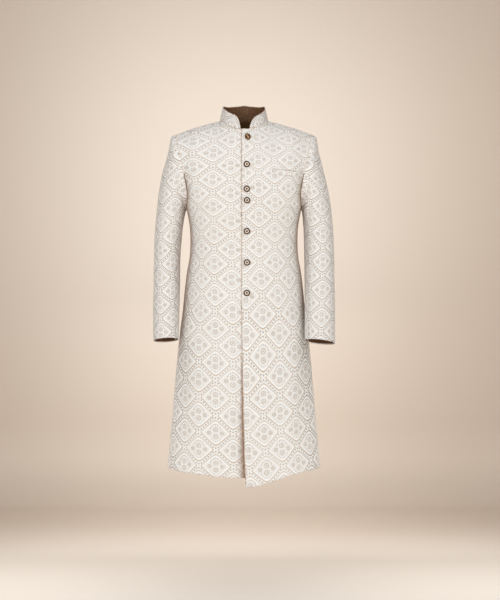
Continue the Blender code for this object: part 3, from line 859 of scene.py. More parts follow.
def figure(start):
    """The figure's masks, from the cloth's own coordinates."""
    flat = start.node("ShaderNodeUVMap", {"uv_map": "cloth"}, {})
    parts = [start.node("ShaderNodeSeparateXYZ", {}, {0: flat}, output=k) for k in range(2)]
    p, q = [abs((part + 0.5).fraction() - 0.5) * 2 for part in parts]
    beyond = p + q > 1
    p, q = p + beyond * (1 - p * 2), q + beyond * (1 - q * 2)
    x, y = p * HALF_REPEAT, q * HALF_REPEAT
    scale = LOZENGE_WIDE * LOZENGE_HIGH / math.hypot(LOZENGE_WIDE, LOZENGE_HIGH)
    rounded = (x * x + LOZENGE_ROUND**2).root()
    edge = (rounded / LOZENGE_WIDE + y / LOZENGE_HIGH - 1) * scale
    run = HALF_REPEAT / math.sqrt(2)
    from_band, along_band = (1 - p - q) * run, abs((p - q) * run)
    in_spot = abs((along_band / SPOT_PITCH).fraction() - 0.5) * SPOT_PITCH
    spot = (from_band * from_band + in_spot * in_spot).root().step(SPOT + 0.6, SPOT - 0.6)
    spot = spot * (1 - (along_band > LAST_SPOT))
    below_head = y - HALF_REPEAT + HEAD_SPOT
    from_head = (below_head * below_head + x * x).root()
    spot = spot.most(from_head.step(SPOT + 0.6, SPOT - 0.6))
    from_top, about_top, top, top_seams, top_rims = floret(TOP_FLORET, y, x)
    from_side, about_side, side, side_seams, side_rims = floret(SIDE_FLORET, x, y)
    arcs = near(from_top, ARC, ARC_WIDE, 0.6) * (about_top * ARC_SPOTS).cosine().step(-0.8, -0.2)
    arcs = arcs * (y > TOP_FLORET.place - 2)
    side_arcs = near(from_side, 11.2, 1.1, 0.5) * (about_side * 12).cosine().step(-0.3, 0.3)
    arcs = arcs.most(side_arcs * (x > SIDE_FLORET.place) * 0.6) * edge.step(-5.6, -6.8)
    lower = (parts[1] + 0.5).fraction() > 0.5
    lower = lower + beyond * (1 - lower * 2)
    return {
        "across": parts[0],
        "down": parts[1],
        "outline": near(edge, 0.0, OUTLINE, 0.6),
        "lower": lower,
        "side": side,
        "raised": near(edge, *RAISED_LINE, 0.6),
        "spot": spot,
        "floret": top,
        "seams": top_seams.most(side_seams),
        "rims": top_rims.most(side_rims),
        "arcs": arcs,
        "middle": (x * x + y * y).root().step(3.4, 2.2),
    }


def brocade_material():
    """Cream brocade: satin ground, beige outlines, grey florets and spots, raised white lines."""
    material, shader, start = new_material("brocade")
    f = figure(start)
    cloud, fleck = noise(start, 7.0, 2.0), noise(start, 330.0, 2.0)
    threads = f["across"] * THREADS + f["down"] * THREADS
    twill = abs((threads * 0.5).fraction() - 0.5) * 2
    weft = abs((f["down"] * THREADS * 0.5).fraction() - 0.5) * 2
    speck = noise(start, 210.0, 1.0).step(0.42, 0.60) * 0.85 + 0.15
    depth = cloud.step(0.3, 0.7) * 0.3 + 0.7
    broken = fleck.step(0.30, 0.62) * 0.5 + 0.5
    colour = plain(start, IVORY)
    colour = colour.mixed((f["floret"] * 0.20 + f["side"] * 0.28) * speck, WARM_GREY)
    colour = colour.mixed(f["seams"] * 0.38 * broken, GREY)
    colour = colour.mixed(f["rims"] * 0.60 * broken, WARM_GREY)
    colour = colour.mixed(f["raised"] * 0.8, WHITE_SILK)
    colour = colour.mixed(f["spot"] * 0.80 * depth, GREY)
    colour = colour.mixed(f["arcs"] * (0.32 + f["lower"] * 0.20) * broken, GREY)
    colour = colour.mixed(f["outline"] * (0.80 - f["lower"] * 0.22) * depth, BEIGE)
    colour = colour.mixed(f["middle"] * 0.9, WHITE_SILK)
    colour = colour.mixed(twill.step(0.35, 0.0) * 0.06, WARM_GREY)
    colour = colour.mixed(fleck.step(0.45, 0.75) * 0.10, WARM_GREY)
    # Painted shade: lines darker where light rakes the turned cloth, all colour by the shade tone
    drawn = f["outline"].most(f["spot"]).most(f["arcs"] * 0.6).most(f["rims"] * 0.5 * broken)
    colour = colour.mixed(drawn * tone_of(start, "raking_shade") * 0.75, LINE_SHADE, "MULTIPLY")
    colour = colour.mixed(tone_of(start, "shade"), SHADE, "MULTIPLY")
    plug(shader, "Base Color", colour)
    lustre = f["raised"] * 0.12 + f["outline"] * 0.08 + weft * 0.05
    plug(shader, "Roughness", 0.62 - lustre)
    shader.inputs["Sheen Weight"].default_value = 0.25
    shader.inputs["Sheen Roughness"].default_value = 0.4
    relief = f["raised"] * 0.9 + f["floret"].most(f["side"]) * 0.45 + f["spot"] * 0.6
    relief = relief + f["middle"] * 0.6 + f["rims"] * 0.25 - f["outline"] * 0.35
    relief = relief + f["arcs"] * 0.4 - f["seams"] * 0.3 + twill * 0.10
    heights = {"Strength": 0.7, "Distance": 0.0005, "Height": relief}
    plug(shader, "Normal", start.node("ShaderNodeBump", {}, heights))
    return material


BROCADE = brocade_material()
LINING = two_tone(
    "lining", (110, 76, 49), (170, 128, 76), (240.0, 1.0), (0.52, 0.70), 0.65, Roughness=0.45
)
print("brocade nodes:", len(BROCADE.node_tree.nodes))

# %% [markdown]
# ## One builder for all the cloth
#
# A cut piece is a shell two millimetres thick. Its faces meet in a rounded edge, as cloth does
# where it is turned in, so two pieces side by side show a seam as a fine groove. The wall is
# brocade outside and lining inside, with a narrow turning of brocade round the edges. Solidify
# could give the thickness, but it would leave square rims.
#
# The coat hardly creases. What shows is soft: lines that run from the armpit, shallow dents in
# the bend of each elbow, and the skirt's own swing. Each is a trough or a ridge, given one by one.

# %% Creases
Crease = namedtuple("Crease", "across down lean length width depth")

SKIRT_SWING = (
    Crease(0.150, -0.900, 3, 0.330, 0.026, 0.0022),
    Crease(0.205, -0.820, 5, 0.300, 0.022, -0.0020),
    Crease(0.095, -0.980, 1, 0.260, 0.030, -0.0012),
    Crease(0.262, -0.930, 6, 0.280, 0.026, 0.0020),
)
CHEST_LINES = (
    Crease(0.178, -0.235, 34, 0.070, 0.012, -0.0016),
    Crease(0.160, -0.285, 22, 0.085, 0.014, 0.0012),
    Crease(0.196, -0.330, 12, 0.090, 0.012, -0.0014),
    Crease(0.120, -0.400, -60, 0.060, 0.013, -0.0007),
)
BACK_SWING = (
    Crease(0.070, -0.930, 2, 0.340, 0.028, 0.0026),
    Crease(0.120, -0.870, 4, 0.300, 0.024, -0.0022),
    Crease(0.190, -0.950, 5, 0.280, 0.026, 0.0020),
)
BACK_LINES = (
    Crease(0.175, -0.240, 30, 0.080, 0.013, -0.0015),
    Crease(0.150, -0.290, 20, 0.090, 0.014, 0.0012),
    Crease(0.060, -0.395, 78, 0.060, 0.012, -0.0010),
)
ELBOW_DENTS = (
    Crease(-0.120, -0.395, 64, 0.055, 0.010, -0.0018),
    Crease(-0.132, -0.432, 72, 0.062, 0.011, -0.0024),
    Crease(-0.118, -0.470, 58, 0.048, 0.010, -0.0014),
    Crease(-0.060, -0.505, 70, 0.040, 0.012, 0.0008),
    Crease(0.110, -0.420, -70, 0.050, 0.012, -0.0012),
)
ARMPIT_LINES = (
    Crease(-0.118, -0.255, 12, 0.080, 0.011, -0.0020),
    Crease(-0.092, -0.215, 16, 0.070, 0.010, 0.0010),
    Crease(0.118, -0.250, -12, 0.080, 0.011, -0.0020),
    Crease(0.020, -0.120, 4, 0.050, 0.022, -0.0008),
)


def crease_height(creases, across, down):
    """How far a set of creases lifts or sinks each place on the flat cloth."""
    height = np.zeros_like(across)
    for crease in creases:
        tilt = math.radians(crease.lean)
        dx, dy = across - crease.across, down - crease.down
        along = dy * math.cos(tilt) + dx * math.sin(tilt)
        beside = dx * math.cos(tilt) - dy * math.sin(tilt)
        fade = np.exp(-((along / crease.length) ** 2) * 2)
        height += crease.depth * fade * np.exp(-((beside / crease.width) ** 2))
    return height


# %% [markdown]
# The edge needs a few very narrow rows, at set distances from it, and the rest can be wide. The
# thickness then follows a quarter circle over the outermost millimetre.

# %% Cloth from a grid of places
EDGE_ROWS = np.array([0.0, 0.00012, 0.0004, 0.0010, 0.0030])
EDGE_ROUND = 0.0006
# How far the painted shade along a cloth edge reaches
EDGE_SHADE_REACH = (0.0008, 0.0030)
TURNINGS = (0.0028, 0.0028, 0.0028, 0.0028)
# Where painted shade on the figure's lines begins as the cloth turns, and how it fades side-on
TURNED_FROM, TURNED_SOFT = 0.92, 0.45
RAKING_FADE_FROM, RAKING_FADE_SOFT, RAKING_FADE = 0.5, 0.4, 0.45
STITCHED = 0.030


def spread(counts, stops, length):
    """Values along a piece, fine at both edges, with each stop on a line of its own."""
    near_edge = EDGE_ROWS / length
    borders = np.cumsum([0, *counts]) / sum(counts)
    inner = np.linspace(near_edge[-1], 1 - near_edge[-1], sum(counts))[1:-1]
    for border in borders[1:-1]:
        inner[np.argmin(np.abs(inner - border))] = border
    return np.interp(np.concatenate([near_edge, inner, 1 - near_edge[::-1]]), borders, stops)


def columns_between(counts, stops, length):
    """The turn of every point of a grid. A stop may be a number for every row."""
    rows = max(np.size(stop) for stop in stops)
    ends = np.concatenate([np.broadcast_to(stop, (rows, 1)) for stop in stops], axis=1)
    at = spread(counts, range(len(stops)), length)
    i = np.minimum(at.astype(int), len(stops) - 2)
    return ends[:, i] + (ends[:, i + 1] - ends[:, i]) * (at - i)


def unit(vectors):
    """Vectors of length 1."""
    return vectors / np.maximum(np.linalg.norm(vectors, axis=-1, keepdims=True), 1e-12)


def outward(points):
    """The direction away from the cloth on a grid of points, with rows upwards."""
    return unit(np.cross(np.gradient(points, axis=1), np.gradient(points, axis=0)))


def walked(points, axis):
    """How far each point of a grid lies from the grid's first and last line along an axis."""
    steps = np.linalg.norm(np.diff(points, axis=axis), axis=-1)
    start = np.zeros_like(np.take(steps, [0], axis=axis))
    passed = np.concatenate([start, np.cumsum(steps, axis=axis)], axis=axis)
    return passed, np.take(passed, [-1], axis=axis) - passed


def from_edges(points):
    """The distances of each point of a grid from its bottom, top, first and last edge."""
    return np.stack([*walked(points, 0), *walked(points, 1)])


def held(points):
    """0 at a piece's edges, where stitching holds the cloth, and 1 away from them."""
    return ease(from_edges(points).min(axis=0) / STITCHED)


def flat_area(points):
    """The area of a grid of points, which is that of the flat cut, as cloth hardly stretches."""
    a = points[1:, 1:] - points[:-1, :-1]
    b = points[1:, :-1] - points[:-1, 1:]
    return float(np.linalg.norm(np.cross(a, b), axis=-1).sum() / 2)


def cut_size(points):
    """The width and length that the flat cut needs, from its longest row and column."""
    rows = np.linalg.norm(np.diff(points, axis=1), axis=-1).sum(axis=1)
    columns = np.linalg.norm(np.diff(points, axis=0), axis=-1).sum(axis=0)
    return float(rows.max()), float(columns.max())


def new_mesh(name, points, faces, materials=(), kinds=()):
    """A smooth mesh object whose place is in its mesh."""
    mesh = bpy.data.meshes.new(name)
    mesh.from_pydata(points, [], faces)
    for material in materials:
        mesh.materials.append(material)
    mesh.shade_smooth()
    if len(kinds):
        mesh.polygons.foreach_set("material_index", kinds)
    return placed(name, mesh)


def edge_shade(distances, strengths):
    """Painted shade along each edge: how dark it is at the bottom, top, first and last edge."""
    fade = 1 - ease((distances - EDGE_SHADE_REACH[0]) / (EDGE_SHADE_REACH[1] - EDGE_SHADE_REACH[0]))
    return np.max(fade * np.reshape(strengths, (4, 1, 1)), axis=0)


def raking_shade(out):
    """Painted shade for the figure's lines: none facing the front, most half turned, less side-on.
    """
    facing = np.abs(out[..., 1])
    hidden = RAKING_FADE * ease((RAKING_FADE_FROM - facing) / RAKING_FADE_SOFT)
    return ease((TURNED_FROM - facing) / TURNED_SOFT) * (1 - hidden)


def write_tone(piece, name, values):
    """Stores one value per point for the materials to read."""
    tone = piece.data.attributes.new(name, "FLOAT", "POINT")
    tone.data.foreach_set("value", values.astype(np.float32))


def shell(outside, out, distances, lift, wall, turnings):
    """A closed shell about a grid: its points, its faces and which of these are lining."""
    nearest = distances.min(axis=0)
    middle = outside + out * np.asarray(lift)[..., None] - out * wall / 2
    half = wall / 2 * np.sqrt(1 - (1 - np.clip(nearest / EDGE_ROUND, 0, 1)) ** 2)[..., None]
    rows, columns = nearest.shape
    count = rows * columns
    points = np.concatenate([(middle + side * half * out).reshape(-1, 3) for side in (1, -1)])
    j, i = np.mgrid[0 : rows - 1, 0 : columns - 1]
    a = (j * columns + i).ravel()
    front = np.stack([a, a + 1, a + 1 + columns, a + columns], axis=1)
    behind = front[:, ::-1] + count
    border = nearest.ravel() < 1e-9
    behind = np.where(border[behind - count], behind - count, behind)
    near_corner = distances[:, :-1, :-1]
    lined = np.all(near_corner >= np.reshape(turnings, (4, 1, 1)) - 1e-6, axis=0)
    covered = np.reshape(turnings, (4, 1, 1)) == 0
    hidden = np.any((near_corner < EDGE_ROUND) & covered, axis=0)
    kinds = np.concatenate([hidden.ravel(), (lined | hidden).ravel()]).astype(int)
    return points, np.concatenate([front, behind]), kinds


def add_cloth(
    name,
    node,
    outside,
    cloth,
    edges,
    lift=0.0,
    shade=0.0,
    wall=WALL,
    turnings=TURNINGS,
    least_raking_shade=0.0,
):
    """A cut piece of lined brocade from a grid of its outside. Cloth holds the figure's u and v.

    Edges says how dark the painted shade along each edge is, and turnings how far the brocade is
    turned in there. Where a turning is 0, the edge hides in a seam and takes the lining's colour.
    """
    out = outward(outside)
    distances = from_edges(outside)
    points, faces, kinds = shell(outside, out, distances, lift, wall, turnings)
    used, faces = np.unique(faces, return_inverse=True)
    faces = faces.reshape(-1, 4)
    piece = new_mesh(name, points[used].tolist(), faces.tolist(), (BROCADE, LINING), kinds)
    layer = piece.data.uv_layers.new(name="cloth")
    flat = np.stack([part.ravel() for part in cloth], axis=1)
    flat = np.concatenate([flat, flat])[used]
    layer.data.foreach_set("uv", flat[faces.ravel()].ravel())
    # Painted shade at each point: along the edges and where given, and on the figure's lines by
    # turn
    tones = {
        "shade": np.maximum(shade, edge_shade(distances, edges)),
        "raking_shade": np.maximum(raking_shade(out), least_raking_shade),
    }
    for tone, values in tones.items():
        write_tone(piece, tone, np.tile(values.ravel(), 2)[used])
    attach(piece, "root")
    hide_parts(node)
    (width, length), area = cut_size(outside), flat_area(outside)
    print(f"{name}: {width:.3f} x {length:.3f} m, {area:.3f} square metres")


# %% [markdown]
# ## Fronts and back
#
# The wearer's left front lies on top and hangs lowest. The right one passes under it, a little
# further in. Both reach from the front edge round to the side seam, and the back is one piece
# from side seam to side seam. Where the skirt swings, the folds fade in below the waist, and at
# the front edge and the seams the cloth stays where its stitching holds it.

# %% Fronts and back
SKIRT_ROWS, YOKE_ROWS = 110, 56
NECK_COLUMNS, SHOULDER_COLUMNS = 26, 44
BODY_LONG, FRONT_WIDE, BACK_WIDE = 1.15, 0.24, 0.48
LEVELS = spread((SKIRT_ROWS, YOKE_ROWS), (0, 1, 2), BODY_LONG)[:, None]
SWING_FROM, SWING_SOFT = -0.45, 0.25

SIDE_SHADE_WIDE = 22
SIDE_SHADE_LOW, SIDE_SHADE_HIGH = (-0.76, -0.56), (-0.12, -0.28)
LAP_SHADE_TOP, LAP_SHADE_HEM, LAP_SHADE_DEEP = 0.006, 0.026, 0.8
LAP_SHADE_STARTS, LAP_SHADE_SOFT, LAP_SHADE_GROWS = -0.70, 0.06, 0.40
ARMHOLE_SHADE_WIDE, ARMHOLE_SHADE_DEEP = 0.012, 0.9
ARMHOLE_SHADE_LOW, ARMHOLE_SHADE_HIGH = (-0.32, -0.27), (-0.155, -0.195)


def between(z, *ends):
    """1 between two soft ends, each given as the heights where it is 0 and where it is full."""
    low, high = [ease((z - start) / (full - start)) for start, full in ends]
    return low * high


def side_shade(turn, points):
    """The warm shade down the sides, where the sleeves keep the light off."""
    beside = ease(1 - np.abs(np.abs(wrapped(turn)) - 90) / SIDE_SHADE_WIDE)
    return beside * between(points[..., 2], SIDE_SHADE_LOW, SIDE_SHADE_HIGH)


def lap_shade(points):
    """The shade that the left front throws on the right one, wider toward the hem."""
    z = points[..., 2]
    below = LAP_SHADE_STARTS - z
    reach = LAP_SHADE_TOP + (LAP_SHADE_HEM - LAP_SHADE_TOP) * ease(below / LAP_SHADE_GROWS)
    beside = ease(1 - (LAPS.read("over", z) - points[..., 0]) / reach)
    return beside * LAP_SHADE_DEEP * ease(below / LAP_SHADE_SOFT)


def armhole_shade(points):
    """The shadow beside an armhole's lower half, where the sleeve hangs against the body."""
    beside = ease(1 - from_edges(points)[2:].min(axis=0) / ARMHOLE_SHADE_WIDE)
    along = between(points[..., 2], ARMHOLE_SHADE_LOW, ARMHOLE_SHADE_HIGH)
    return beside * ARMHOLE_SHADE_DEEP * along


def left_front():
    """The wearer's left front, which lies on top, as a grid of turns and points."""
    first = lap_turn(body(0.0, LEVELS, LEFT_DROP)[..., 2], "over")
    stops = (first, NECK_TURN, 90.0)
    turn = columns_between((NECK_COLUMNS, SHOULDER_COLUMNS), stops, FRONT_WIDE)
    return turn, body(turn, LEVELS, LEFT_DROP)


def right_front():
    """The wearer's right front, whose edge is sunk under the left one."""
    z = body(0.0, LEVELS, RIGHT_DROP)[..., 2]
    stops = (-90.0, -NECK_TURN, lap_turn(z, "under"))
    turn = columns_between((SHOULDER_COLUMNS, NECK_COLUMNS), stops, FRONT_WIDE)
    points = body(turn, LEVELS, RIGHT_DROP)
    sunk = points[..., 0] - LAPS.read("over", z) + RECESS_STARTS
    points[..., 1] += LAPS.read("recess", z) * ease(sunk / (RECESS_STARTS - RECESS_ENDS))
    return turn, points


def back():
    """The back, in one piece, a seam's gap behind the fronts."""
    stops = (90.0, 180 - NECK_TURN, 180 + NECK_TURN, 270.0)
    counts = (SHOULDER_COLUMNS, 2 * NECK_COLUMNS, SHOULDER_COLUMNS)
    turn = columns_between(counts, stops, BACK_WIDE)
    points = body(180 + (turn - 180) * BACK_SHARE, LEVELS, BACK_DROP)
    return turn, points + np.array([0, SEAM, 0])


BODY_TURNINGS = (0.025, 0.0, 0.003, 0.003)
# Each piece's painted shade along its bottom, top, first and last edge
for name, (turn, points), node, edges in (
    ("left", left_front(), "front_left", (0.35, 0.3, 0.55, 0.15)),
    ("right", right_front(), "front_right", (0.35, 0.3, 0.15, 0.5)),
    ("back", back(), "back", (0.35, 0.3, 0.15, 0.15)),
):
    away = np.abs(wrapped(turn))
    flat, counted = (BACK_FLAT, 180 - away) if name == "back" else (FRONT_FLAT, away)
    swing, lines = (BACK_SWING, BACK_LINES) if name == "back" else (SKIRT_SWING, CHEST_LINES)
    across, down = flat.read(counted, points[..., 2])
    lift = crease_height(swing, across, down) * ease((SWING_FROM - down) / SWING_SOFT)
    lift = (lift + crease_height(lines, across, down)) * held(points)
    cloth = figure_on_body(flat, name, turn, points)
    shade = np.maximum(side_shade(turn, points), armhole_shade(points) * (away > NECK_TURN))
    if name == "right":
        shade = np.maximum(shade, lap_shade(points))
    add_cloth(f"cloth_{node}", node, points, cloth, edges, lift, shade, turnings=BODY_TURNINGS)

# %% [markdown]
# ## Sleeves
#
# A tailored sleeve is cut in two: a wide top piece and a narrow under piece that is hidden next to
# the body. Both are rows of rings from the armhole to the cuff. The rings are closest at the
# sleeve head, where the cloth turns most in the shortest way.

# %% Sleeves
SLEEVE_HEAD_ROWS, SLEEVE_ROWS = 26, 84
TOP_SLEEVE_COLUMNS, UNDER_SLEEVE_COLUMNS = 84, 26
SLEEVE_LONG, TOP_SLEEVE_WIDE, UNDER_SLEEVE_WIDE = 0.65, 0.34, 0.07
SLEEVE_STOPS = (1.0, 0.12, 0.0)
SLEEVE_EDGES = (0.15, 0.1, 0.15, 0.15)
SLEEVE_TURNINGS = (0.0012, 0.0, 0.003, 0.003)
# The least painted shade on the sleeves' figure lines, even where they face the front
SLEEVE_RAKING_SHADE = 0.35
INNER_FROM, INNER_SOFT, INNER_SHADE = 0.50, 0.45, 0.05
UNDERARM_SHADE, UNDERARM_SHARE, CUFF_SHARE, ALONG_SOFT = 0.2, 0.30, 1.02, 0.25


def inner_shade(turn, share):
    """The warm shade on the side of a sleeve that faces the body, deepest under the arm."""
    facing = ease((np.cos(np.radians(turn)) - INNER_FROM) / INNER_SOFT)
    deep = INNER_SHADE + UNDERARM_SHADE * ease((UNDERARM_SHARE - share) / ALONG_SOFT)
    return facing * deep * ease((CUFF_SHARE - share) / ALONG_SOFT)


for side, rings, name in ((LEFT, LEFT_SLEEVE, "left"), (RIGHT, RIGHT_SLEEVE, "right")):
    first, last = UNDER_SLEEVE_TURN + SLEEVE_SEAM_TURN, UNDER_SLEEVE_TURN - SLEEVE_SEAM_TURN
    for kind, columns, start, end, wide in (
        ("top", TOP_SLEEVE_COLUMNS, first, 360 - first, TOP_SLEEVE_WIDE),
        ("under", UNDER_SLEEVE_COLUMNS, -last, last, UNDER_SLEEVE_WIDE),
    ):
        if side == RIGHT:
            start, end = end, start
        turn = spread((columns,), (start, end), wide)[None, :]
        share = spread((SLEEVE_ROWS, SLEEVE_HEAD_ROWS), SLEEVE_STOPS, SLEEVE_LONG)[:, None]
        turn, share = np.broadcast_arrays(turn, share)
        points = sleeve_ring(rings, side, turn % 360, share)
        across, down = SLEEVE_FLAT[side].read(np.abs(turn % 360 - 180), points[..., 2])
        across = across * np.sign(turn % 360 - 180)
        lift = crease_height(ELBOW_DENTS + ARMPIT_LINES, across, down) * held(points)
        node = f"sleeve_{name}_{kind}"
        add_cloth(
            f"cloth_{node}",
            node,
            points,
            figure_on_sleeve(side, turn, points),
            SLEEVE_EDGES,
            lift,
            inner_shade(turn, share),
            turnings=SLEEVE_TURNINGS,
            least_raking_shade=SLEEVE_RAKING_SHADE,
        )

# %% [markdown]
# ## Collar
#
# The band collar stands on the neckline and leans in by a centimetre. Its two ends are cut to a
# curve at the throat. The brocade on it is cut on the cross, so the lozenges run as slanting bands
# that mirror each other from left to right. It is stiffened, so it is thicker than the rest.

# %% Collar
COLLAR_TIP_COLUMNS, COLLAR_BACK_COLUMNS, COLLAR_ROWS = 24, 110, 18
COLLAR_REPEAT = 0.064
COLLAR_SLANT = 12.0
COLLAR_FIGURE = {RIGHT: (0.335, 0.022), LEFT: (0.103, 0.007)}
COLLAR_SEAM = 0.0002
COLLAR_LONG = 0.47
COLLAR_EDGES = (0.3, 0.6, 0.6, 0.6)
COLLAR_TURNINGS = (0.0, 0.0012, 0.003, 0.003)
# Painted shade on the collar: warmer toward its sides, and a least amount on its figure's lines
COLLAR_SHADE, COLLAR_RAKING_SHADE = 0.14, 0.6


def collar():
    """The collar's outside, from its left end round the back to its right end."""
    first, last = COLLAR_LEFT_END, 360 + COLLAR_RIGHT_END
    stops = (first, first + COLLAR_TIP_TURN, last - COLLAR_TIP_TURN, last)
    counts = (COLLAR_TIP_COLUMNS, COLLAR_BACK_COLUMNS, COLLAR_TIP_COLUMNS)
    turn = spread(counts, stops, COLLAR_LONG)[None, :]
    rise = spread((COLLAR_ROWS,), (0, 1), COLLAR_HEIGHT)[:, None]
    turn, rise = np.broadcast_arrays(turn, rise)
    foot = neck(turn)
    up = COLLAR_SEAM + (collar_height(turn) - COLLAR_SEAM) * rise
    out = unit((foot - np.array([0, NECK_Y, 0])) * np.array([1, 1, 0]))
    place = foot - out * (COLLAR_LEAN * up / COLLAR_HEIGHT)[..., None]
    return turn, place + up[..., None] * np.array([0, 0, 1])


turn, points = collar()
degrees = wrapped(turn)
about = np.radians(degrees) * NECK_HALF_DEPTH
up = points[..., 2] - neck(turn)[..., 2]
slant = math.radians(COLLAR_SLANT)
side = np.where(about > 0, LEFT, RIGHT)
shift_u, shift_v = [
    np.where(side == LEFT, COLLAR_FIGURE[LEFT][k], COLLAR_FIGURE[RIGHT][k]) for k in range(2)
]
u = (np.abs(about) * math.cos(slant) + up * math.sin(slant)) / COLLAR_REPEAT + shift_u
v = (up * math.cos(slant) - np.abs(about) * math.sin(slant)) / COLLAR_REPEAT + shift_v
add_cloth(
    "cloth_collar",
    "collar",
    points,
    (u * side, v),
    COLLAR_EDGES,
    shade=COLLAR_SHADE * ease(np.abs(degrees) / 90),
    wall=COLLAR_WALL,
    turnings=COLLAR_TURNINGS,
    least_raking_shade=COLLAR_RAKING_SHADE,
)

# %% [markdown]
# ## Breast pocket
#
# The pocket is only a slit with a welt: a folded strip sewn along its bottom and ends, with its
# open edge on top. It lies on the left front, so each of its points is searched for there.

# %% Places on the left front, and the welt
Place = namedtuple("Place", "point across upward out turn")
SEARCH_STEPS = 14
SEARCH_STEP = 1e-4
FIRST_TURN, FIRST_LEVEL, LAST_LEVEL = 20.0, 1.0, 1.99


def on_front(x, z):
    """The left front's outside at given x and z, with the directions across, up and outward."""
    x, z = np.broadcast_arrays(np.asarray(x, float), np.asarray(z, float))
    turn, level = np.full(x.shape, FIRST_TURN), np.full(x.shape, FIRST_LEVEL)
    for _ in range(SEARCH_STEPS):
        point = body(turn, level, LEFT_DROP)
        across = (body(turn + SEARCH_STEP, level, LEFT_DROP) - point) / SEARCH_STEP
        upward = (body(turn, level + SEARCH_STEP, LEFT_DROP) - point) / SEARCH_STEP
        scale = across[..., 0] * upward[..., 2] - upward[..., 0] * across[..., 2]
        dx, dz = x - point[..., 0], z - point[..., 2]
        turn = turn + (dx * upward[..., 2] - upward[..., 0] * dz) / scale
        climb = (across[..., 0] * dz - dx * across[..., 2]) / scale
        level = np.clip(level + climb, 0, LAST_LEVEL)
    out = unit(np.cross(across, upward))
    sideways = unit(np.cross(np.array([0.0, 0.0, 1.0]), out))
    return Place(point, sideways, np.cross(out, sideways), out, turn)


WELT_COLUMNS, WELT_ROWS, WELT_LONG = 60, 12, 0.077
WELT_EDGES = (0.1, 0.0, 0.1, 0.1)
along = spread((WELT_COLUMNS,), (0, 1), WELT_LONG)[None, :]
rise = spread((WELT_ROWS,), (0, 1), WELT_DEEP)[:, None]
along, rise = np.broadcast_arrays(along, rise)
welt_x = WELT_INNER.x + (WELT_OUTER.x - WELT_INNER.x) * along
welt_z = WELT_INNER.z + (WELT_OUTER.z - WELT_INNER.z) * along - WELT_DEEP * (1 - rise)
welt = on_front(welt_x, welt_z)
worst = np.abs(welt.point[..., 2] - welt_z).max()
print(f"the search for the welt is off by {worst * 1e6:.2f} thousandths of a millimetre at most")
points = welt.point + welt.out * (SEAM + WELT_WALL)
cloth = figure_on_body(FRONT_FLAT, "left", welt.turn, welt.point)
add_cloth("cloth_welt", "pocket_welt", points, cloth, WELT_EDGES, wall=WELT_WALL)
# %% [markdown]
# ## Buttons
#
# Each button is a turned brass ring, darkened in its hollows, round a cream enamel face with an
# amber stud in the middle. The top one is oval and carries a cast scroll instead. A ring whose
# section is turned round an axis is exactly what a lathe does, so one short profile makes them
# all, and the last column of the profile says which finish a step has.

# %% Turned buttons
Step = namedtuple("Step", "reach height finish")
METAL, ENAMEL, STUD = 0, 1, 2
BUTTON_FOOT = (
    Step(0.000, 0.0000, METAL),
    Step(0.930, 0.0000, METAL),
    Step(0.985, 0.0003, METAL),
    Step(1.000, 0.0009, METAL),
)
ROUND_BUTTON = (
    *BUTTON_FOOT,
    Step(1.000, 0.0019, METAL),
    Step(0.975, 0.0026, METAL),
    Step(0.920, 0.0031, METAL),
    Step(0.840, 0.0034, METAL),
    Step(0.750, 0.0033, METAL),
    Step(0.650, 0.0027, METAL),
    Step(0.620, 0.0020, METAL),
    Step(0.610, 0.0020, ENAMEL),
    Step(0.480, 0.0023, ENAMEL),
    Step(0.310, 0.0024, ENAMEL),
    Step(0.300, 0.0026, STUD),
    Step(0.290, 0.0032, STUD),
    Step(0.240, 0.0037, STUD),
    Step(0.150, 0.0040, STUD),
    Step(0.000, 0.0041, STUD),
)
OVAL_BUTTON = (
    *BUTTON_FOOT,
    Step(0.995, 0.0018, METAL),
    Step(0.940, 0.0026, METAL),
    Step(0.870, 0.0028, METAL),
    Step(0.810, 0.0024, METAL),
    *[Step(reach, 0.0026 - 0.0006 * reach, METAL) for reach in np.linspace(0.78, 0, 27)],
)
BUTTON_SIDES = 64
OVAL_TILT = 10.0


def metal_material():
    """Brass gone brown, bright where fingers rub it."""
    material, shader, start = new_material("button_metal")
    worn = noise(start, 420.0, 3.0)
    colour = plain(start, linear(84, 48, 24))
    colour = colour.mixed(worn.step(0.5, 0.75) * 0.30, linear(120, 76, 42))
    plug(shader, "Base Color", colour.mixed(tone_of(start, "rubbed"), linear(226, 190, 146)))
    plug(shader, "Roughness", 0.46 - worn * 0.12)
    shader.inputs["Metallic"].default_value = 0.88
    return material


ENAMEL_LOOK = {"Roughness": 0.28, "Coat_Weight": 0.4}
STUD_LOOK = {"Roughness": 0.40, "Specular_IOR_Level": 0.12}
BUTTON_FINISHES = (
    metal_material(),
    two_tone(
        "button_enamel",
        (240, 226, 208),
        (252, 243, 230),
        (300.0, 1.0),
        (0.4, 0.7),
        0.5,
        **ENAMEL_LOOK,
    ),
    two_tone(
        "button_stud", (60, 30, 11), (92, 52, 22), (500.0, 2.0), (0.45, 0.7), 0.5, **STUD_LOOK
    ),
)


